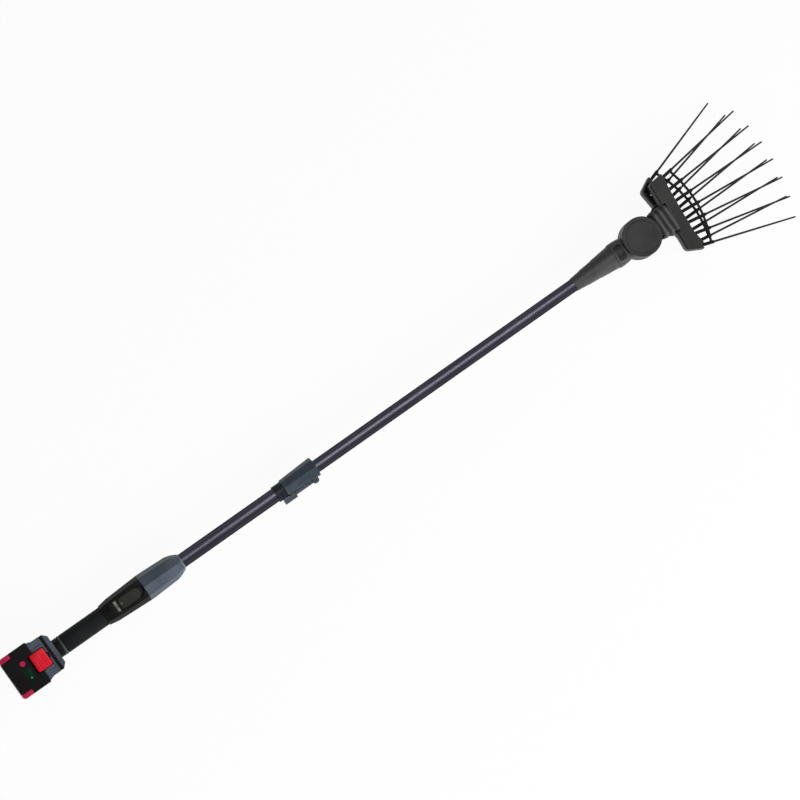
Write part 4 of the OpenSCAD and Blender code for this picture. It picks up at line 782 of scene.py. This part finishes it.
def makeBelt(form, beside):
    low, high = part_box("battery_bumper")
    reach = high[1] - beside["wrap"]
    outline = roundedBox(low[0], low[0] + form["thick"], -reach, reach, form["corner"])
    levels = np.linspace(low[2] + form["dip"], high[2] - form["dip"], form["ribs"] + 1)
    lofts = [slabRings(outline, z0 + form["gap"], z1 - form["gap"], form["edge"], steps=4)
             for z0, z1 in zip(levels[:-1], levels[1:])]
    makeLofts("endBelt", lofts, "packShell", "battery", slot="pack_black")


makeBelt(belt, guard)
print("cover, latch, caps, seal, guards and belt made")

# poles: a tube wall turned about the pole's axis, with its ends eased
tube = {"wall": 0.0011, "ease": 0.0004}


def makePole(node, name, body, form):
    low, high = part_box(node)
    x0, x1, r = low[0], high[0], (high[1] - low[1]) / 2
    ease, bore = form["ease"], r - form["wall"]
    loop = [(x0, r - ease), (x0 + ease, r), (x1 - ease, r), (x1, r - ease), (x1, bore), (x0, bore)]
    makeHoop(name, spin(loop, sides=128), "tubeCoat", body, [node], "tube_dark", sharp=35)


makePole("lower_tube", "lowerPole", "root", tube)
makePole("upper_tube", "upperPole", "upper", tube)

# painted highlight: a pale ring that narrows from the nose's end down to the pole, standing in for
# light on the nose's end chamfer
chamferSheen = {"back": 0.0006, "ahead": 0.0021, "outer": 0.0021, "tip": 0.0006, "round": 0.0005}


def makeNoseSheenRing(form):
    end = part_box("nose_shell")[1][0]
    low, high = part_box("lower_tube")
    r = (high[1] - low[1]) / 2
    x0, x1, soft = end - form["back"], end + form["ahead"], form["round"]
    loop = [(x0, r), (x0, r + form["outer"]), (end + soft, r + form["outer"]),
            (x1 - soft, r + form["tip"] + soft), (x1, r + form["tip"]), (x1, r)]
    makeHoop("noseSheenRing", spin(loop), "sealPale", "root", slot="trim_silver", sharp=50)


makeNoseSheenRing(chamferSheen)

# lever pad: two thin slabs on the lever's inner face, the one over the ring a little thicker
leverPad = {"sink": 0.0005, "gap": 0.0001, "flat": 0.0154, "inset": 0.0009, "hub": 0.0095,
            "seam": 0.0002, "corner": 0.0001}


def makeLeverPad(form):
    low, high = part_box("clamp_lever")
    ringEnd, ringHalf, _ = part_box("clamp_ring")[1]
    back, reach, soft = high[1] - form["sink"], high[2] - form["inset"], form["corner"]
    runs = [(low[0] + form["inset"], ringEnd - form["seam"], -ringHalf - 2 * form["gap"]),
            (ringEnd + form["seam"], high[0] - form["hub"], -form["flat"] - form["gap"])]
    outlines = [roundedBox(x0, x1, back, face, soft, steps=3) for x0, x1, face in runs]
    lofts = [slabRings(outline, -reach, reach, soft, steps=3) for outline in outlines]
    makeLofts("leverPad", lofts, "ringDark", "lever", slot="handle_black")


makeLeverPad(leverPad)

# grip: a rubber sleeve with fine rings, a black step towards the shoe and a paler lip between them
grip = {"step": (-0.3618, -0.3504), "lip": (-0.3503, -0.3452), "sleeve": (-0.3451, -0.2610),
        "radius": 0.0175, "bore": 0.0146, "round": 0.0018, "margin": 0.004, "pitch": 0.0024,
        "ring": 0.00016, "drop": 0.0002, "stepRound": 0.0008, "bulge": 0.0005, "lipRound": 0.0022,
        "rows": 340}


def easedSleeve(x0, x1, radius, bore, soft, rows=2):
    # outer line that turns in through a quarter circle at both ends, closed along the bore
    cosine, sine = quarter(steps=7)
    left = np.stack([x0 + soft * (1 - cosine), radius - soft * (1 - sine)], -1)
    right = np.stack([x1 - soft * (1 - cosine[::-1]), left[::-1, 1]], -1)
    between = np.linspace(x0 + soft, x1 - soft, rows)[1:-1]
    middle = np.stack([between, np.full(rows - 2, radius)], -1)
    return np.concatenate([left, middle, right, [(x1, bore), (x0, bore)]])


def makeGrip(form):
    r, bore, margin = form["radius"], form["bore"], form["margin"]
    x0, x1 = form["sleeve"]
    line = easedSleeve(x0, x1, r, bore, form["round"], form["rows"])
    x = line[:, 0]
    ringed = (x > x0 + margin) & (x < x1 - margin) & (line[:, 1] > bore)
    wave = 0.5 - 0.5 * np.cos(2 * np.pi * (x - x0 - margin) / form["pitch"])
    line[:, 1] -= np.where(ringed, form["ring"] * wave, 0)
    makeHoop("gripSleeve", spin(line), "gripRubber", "root", ["grip_sleeve"], "grip_rubber")
    step = easedSleeve(*form["step"], r - form["drop"], bore, form["stepRound"])
    makeHoop("gripStep", spin(step), "handleBlack", "root", slot="handle_black")
    lip = easedSleeve(*form["lip"], r + form["bulge"], bore, form["lipRound"])
    makeHoop("gripLip", spin(lip), "lipRubber", "root", slot="grip_rubber")


makeGrip(grip)

# gauge: a dark window with eased edges and four lenses in a row, the last of them painted pale as
# if lit, a painted glow with no emission
gauge = {"edge": 0.0004, "corner": 0.0016, "lenses": 4, "size": 0.00125, "pitch": 0.0044,
         "sink": 0.0005, "proud": 0.0003, "lensEdge": 0.0003}


def makeGauge(form):
    low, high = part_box("gauge_window")
    outline = roundedBox(low[0], high[0], low[1], high[1], form["corner"])
    window = slabRings(outline, low[2], high[2], form["edge"])
    makeLofts("gaugeWindow", [window], "ledWindow", "battery", ["gauge_window"], "window_green")
    mid = np.array([(low[0] + high[0]) / 2, (low[1] + high[1]) / 2])
    dot = circle(sides=20) * form["size"] + mid
    places = (np.arange(form["lenses"]) - (form["lenses"] - 1) / 2) * form["pitch"]
    z0, z1 = high[2] - form["sink"], high[2] + form["proud"]
    # painted glow: one lens wears the pale colour of a lit LED
    lit, *unlit = [slabRings(dot + [0, y], z0, z1, form["lensEdge"], steps=4) for y in places]
    makeLofts("gaugeLenses", unlit, "ledWindow", "battery", slot="window_green")
    makeLofts("gaugeGlowLens", [lit], "ledLit", "battery", slot="window_green")


makeGauge(gauge)

# indicator bar: a rounded bar across the panel with a pale lens near each end
bar = {"x": (-0.2372, -0.2314), "edge": 0.0005, "corner": 0.0014, "lens": (0.0035, 0.0088),
       "inset": 0.0012, "lensCorner": 0.0012, "sink": 0.0005, "proud": 0.0003, "lensEdge": 0.0003}


def makeBar(form):
    low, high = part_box("indicator_bar")
    x0, x1 = form["x"]
    outline = roundedBox(x0, x1, low[1], high[1], form["corner"])
    slab = slabRings(outline, low[2], high[2], form["edge"])
    makeLofts("indicatorBar", [slab], "barSilver", "root", ["indicator_bar"], "trim_silver")
    near, far = form["lens"]
    z0, z1, inset = high[2] - form["sink"], high[2] + form["proud"], form["inset"]
    ends = ((-far, -near), (near, far))
    outlines = [roundedBox(x0 + inset, x1 - inset, *end, form["lensCorner"]) for end in ends]
    lofts = [slabRings(outline, z0, z1, form["lensEdge"], steps=4) for outline in outlines]
    makeLofts("indicatorLenses", lofts, "barLens", "root", slot="trim_silver")


makeBar(bar)

# liner: a dark stadium below the thumb pad that closes its slot
liner = {"x": (-0.2303, -0.1799), "half": 0.0105, "low": 0.0132, "high": 0.0147, "flat": 0.0001,
         "edge": 0.0003}


def makeLiner(form):
    half = form["half"]
    outline = roundedBox(*form["x"], -half, half, half - form["flat"], steps=16)
    slab = slabRings(outline, form["low"], form["high"], form["edge"], steps=3)
    makeLofts("slotLiner", [slab], "packShell", "root", slot="handle_black")


makeLiner(liner)

# access plug: a rounded slab bent round the barrel, in a frame of round section that is half sunk
plug = {"corner": 0.0042, "edge": 0.0006, "sink": 0.0012, "proud": 0.0001, "finer": 8, "rings": 11,
        "middle": 0.02, "frame": 0.0007, "frameOut": 0.6, "frameSides": 10}


def makePlug(form):
    low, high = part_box("access_plug")
    r = high[2]
    reach = math.asin(min(1.0, high[1] / r)) * r

    def bent(p):  # wraps flat points round the barrel, their second measure running along the arc
        angle, out = p[..., 1] / r, r + p[..., 2]
        return np.stack([p[..., 0], out * np.sin(angle), out * np.cos(angle)], -1)

    coarse = roundedBox(low[0], high[0], -reach, reach, form["corner"], steps=9)
    part = np.linspace(0, 1, form["finer"] + 1)[:-1, None]
    outline = (coarse[:, None] * (1 - part) + np.roll(coarse, -1, 0)[:, None] * part).reshape(-1, 2)
    slab = slabRings(outline, -form["sink"], form["proud"], form["edge"])
    centre = np.array([(low[0] + high[0]) / 2, 0.0, form["proud"]])
    shrink = np.linspace(1, form["middle"], form["rings"] + 1)[1:, None, None]
    rings = bent(np.concatenate([slab, (slab[-1] - centre) * shrink + centre]))
    makeLofts("accessPlug", [rings], "plugDark", "upper", ["access_plug"], "head_grey", sharp=60)
    turn = circle(form["frameSides"])
    shift = form["frame"] * (form["frameOut"] + turn[:, 0])
    flat = outline[:, None] + outward(outline)[:, None] * shift[None, :, None]
    rings = bent(lifted(flat, form["frame"] * turn[None, :, 1:]))
    makeHoop("plugFrame", rings, "frameGrey", "upper", slot="head_grey", sharp=70)


makePlug(plug)
print("poles, seal, lever pad, grip, gauge, bar, liner and plug made")

# thumb pad: a stadium whose top is crowned across and along, with a silver dot near its rear end
pad = {"x": (-0.2300, -0.1860), "half": 0.0102, "low": 0.0152, "high": 0.0200, "edge": 0.0016,
       "crown": 0.0006, "flat": 0.00005, "rings": 13, "middle": 0.02, "dot": -0.2244,
       "dotSize": 0.0021, "dotProud": 0.0003, "dotEdge": 0.0003}


def makePad(form):
    x0, x1 = form["x"]
    half, high = form["half"], form["high"]
    outline = roundedBox(x0, x1, -half, half, half - form["flat"], steps=20)
    wall = slabRings(outline, form["low"], high, form["edge"], steps=7)
    centre = np.array([(x0 + x1) / 2, 0.0, high])
    shrink = np.linspace(1, form["middle"], form["rings"] + 1)[1:]
    face = centre + (wall[-1] - centre) * shrink[:, None, None]
    face[..., 2] = high + form["crown"] * (1 - shrink[:, None] ** 2)
    rings = np.concatenate([wall, face])
    makeLofts("thumbPad", [rings], "padSatin", "power", ["power_slide"], "pad_olive", sharp=60)
    ring = circle(sides=24) * form["dotSize"] + [form["dot"], 0]
    dot = slabRings(ring, high, high + form["crown"] + form["dotProud"], form["dotEdge"], steps=4)
    makeLofts("padDot", [dot], "barSilver", "power", slot="trim_silver")


makePad(pad)
print("thumb pad made")

# tines: rods that thin towards a rounded tip, fanned out on each comb from a row that falls back to
# both sides
rods = {"count": 3, "pitch": 0.024, "fan": 4.33, "reach": 0.079, "sag": 2.62, "length": 0.157,
        "back": 0.046, "seat": 0.0415, "root": 0.0020, "tip": 0.00145, "taper": 1.5,
        "round": 0.985, "height": 0.024, "rows": 26, "tipRows": 7, "tipStart": 0.15,
        "blunt": 0.9995, "sides": 14}


def makeTines(name, comb, side, node, form):
    soft = 1 - form["round"]  # share of the length that the tip's rounding takes
    dense = np.sin(np.linspace(form["tipStart"], 1.0, form["tipRows"]) * np.pi / 2)
    s = np.concatenate([np.linspace(0, form["round"], form["rows"]), form["round"] + soft * dense])
    radius = form["root"] + (form["tip"] - form["root"]) * s ** form["taper"]
    drawn = np.clip((s - form["round"]) / soft, 0, form["blunt"])
    radius = radius * np.sqrt(1 - drawn ** 2)
    run = -form["back"] + (form["length"] + form["back"]) * s
    across, up = (radius[:, None] * part for part in circle(form["sides"]).T)
    lofts = []
    for i in range(-form["count"], form["count"] + 1):
        y = i * form["pitch"]
        a = math.radians(form["fan"] * i)
        dx, dy = math.cos(a), math.sin(a)
        foot = form["reach"] - form["sag"] * y * y
        along = np.maximum(run, -(foot - form["seat"]) / dx)[:, None]
        flat = np.stack([foot + along * dx - across * dy, y + along * dy + across * dx], -1)
        lofts.append(lifted(leant(flat, side), (side * form["height"] + up)[..., None]))
    makeLofts(name, lofts, "tineRod", comb, [node], "tine_black", sharp=60)


makeTines("frontTineRods", "front_comb", 1, "front_tines", rods)
makeTines("rearTineRods", "rear_comb", -1, "rear_tines", rods)
print("tines made")
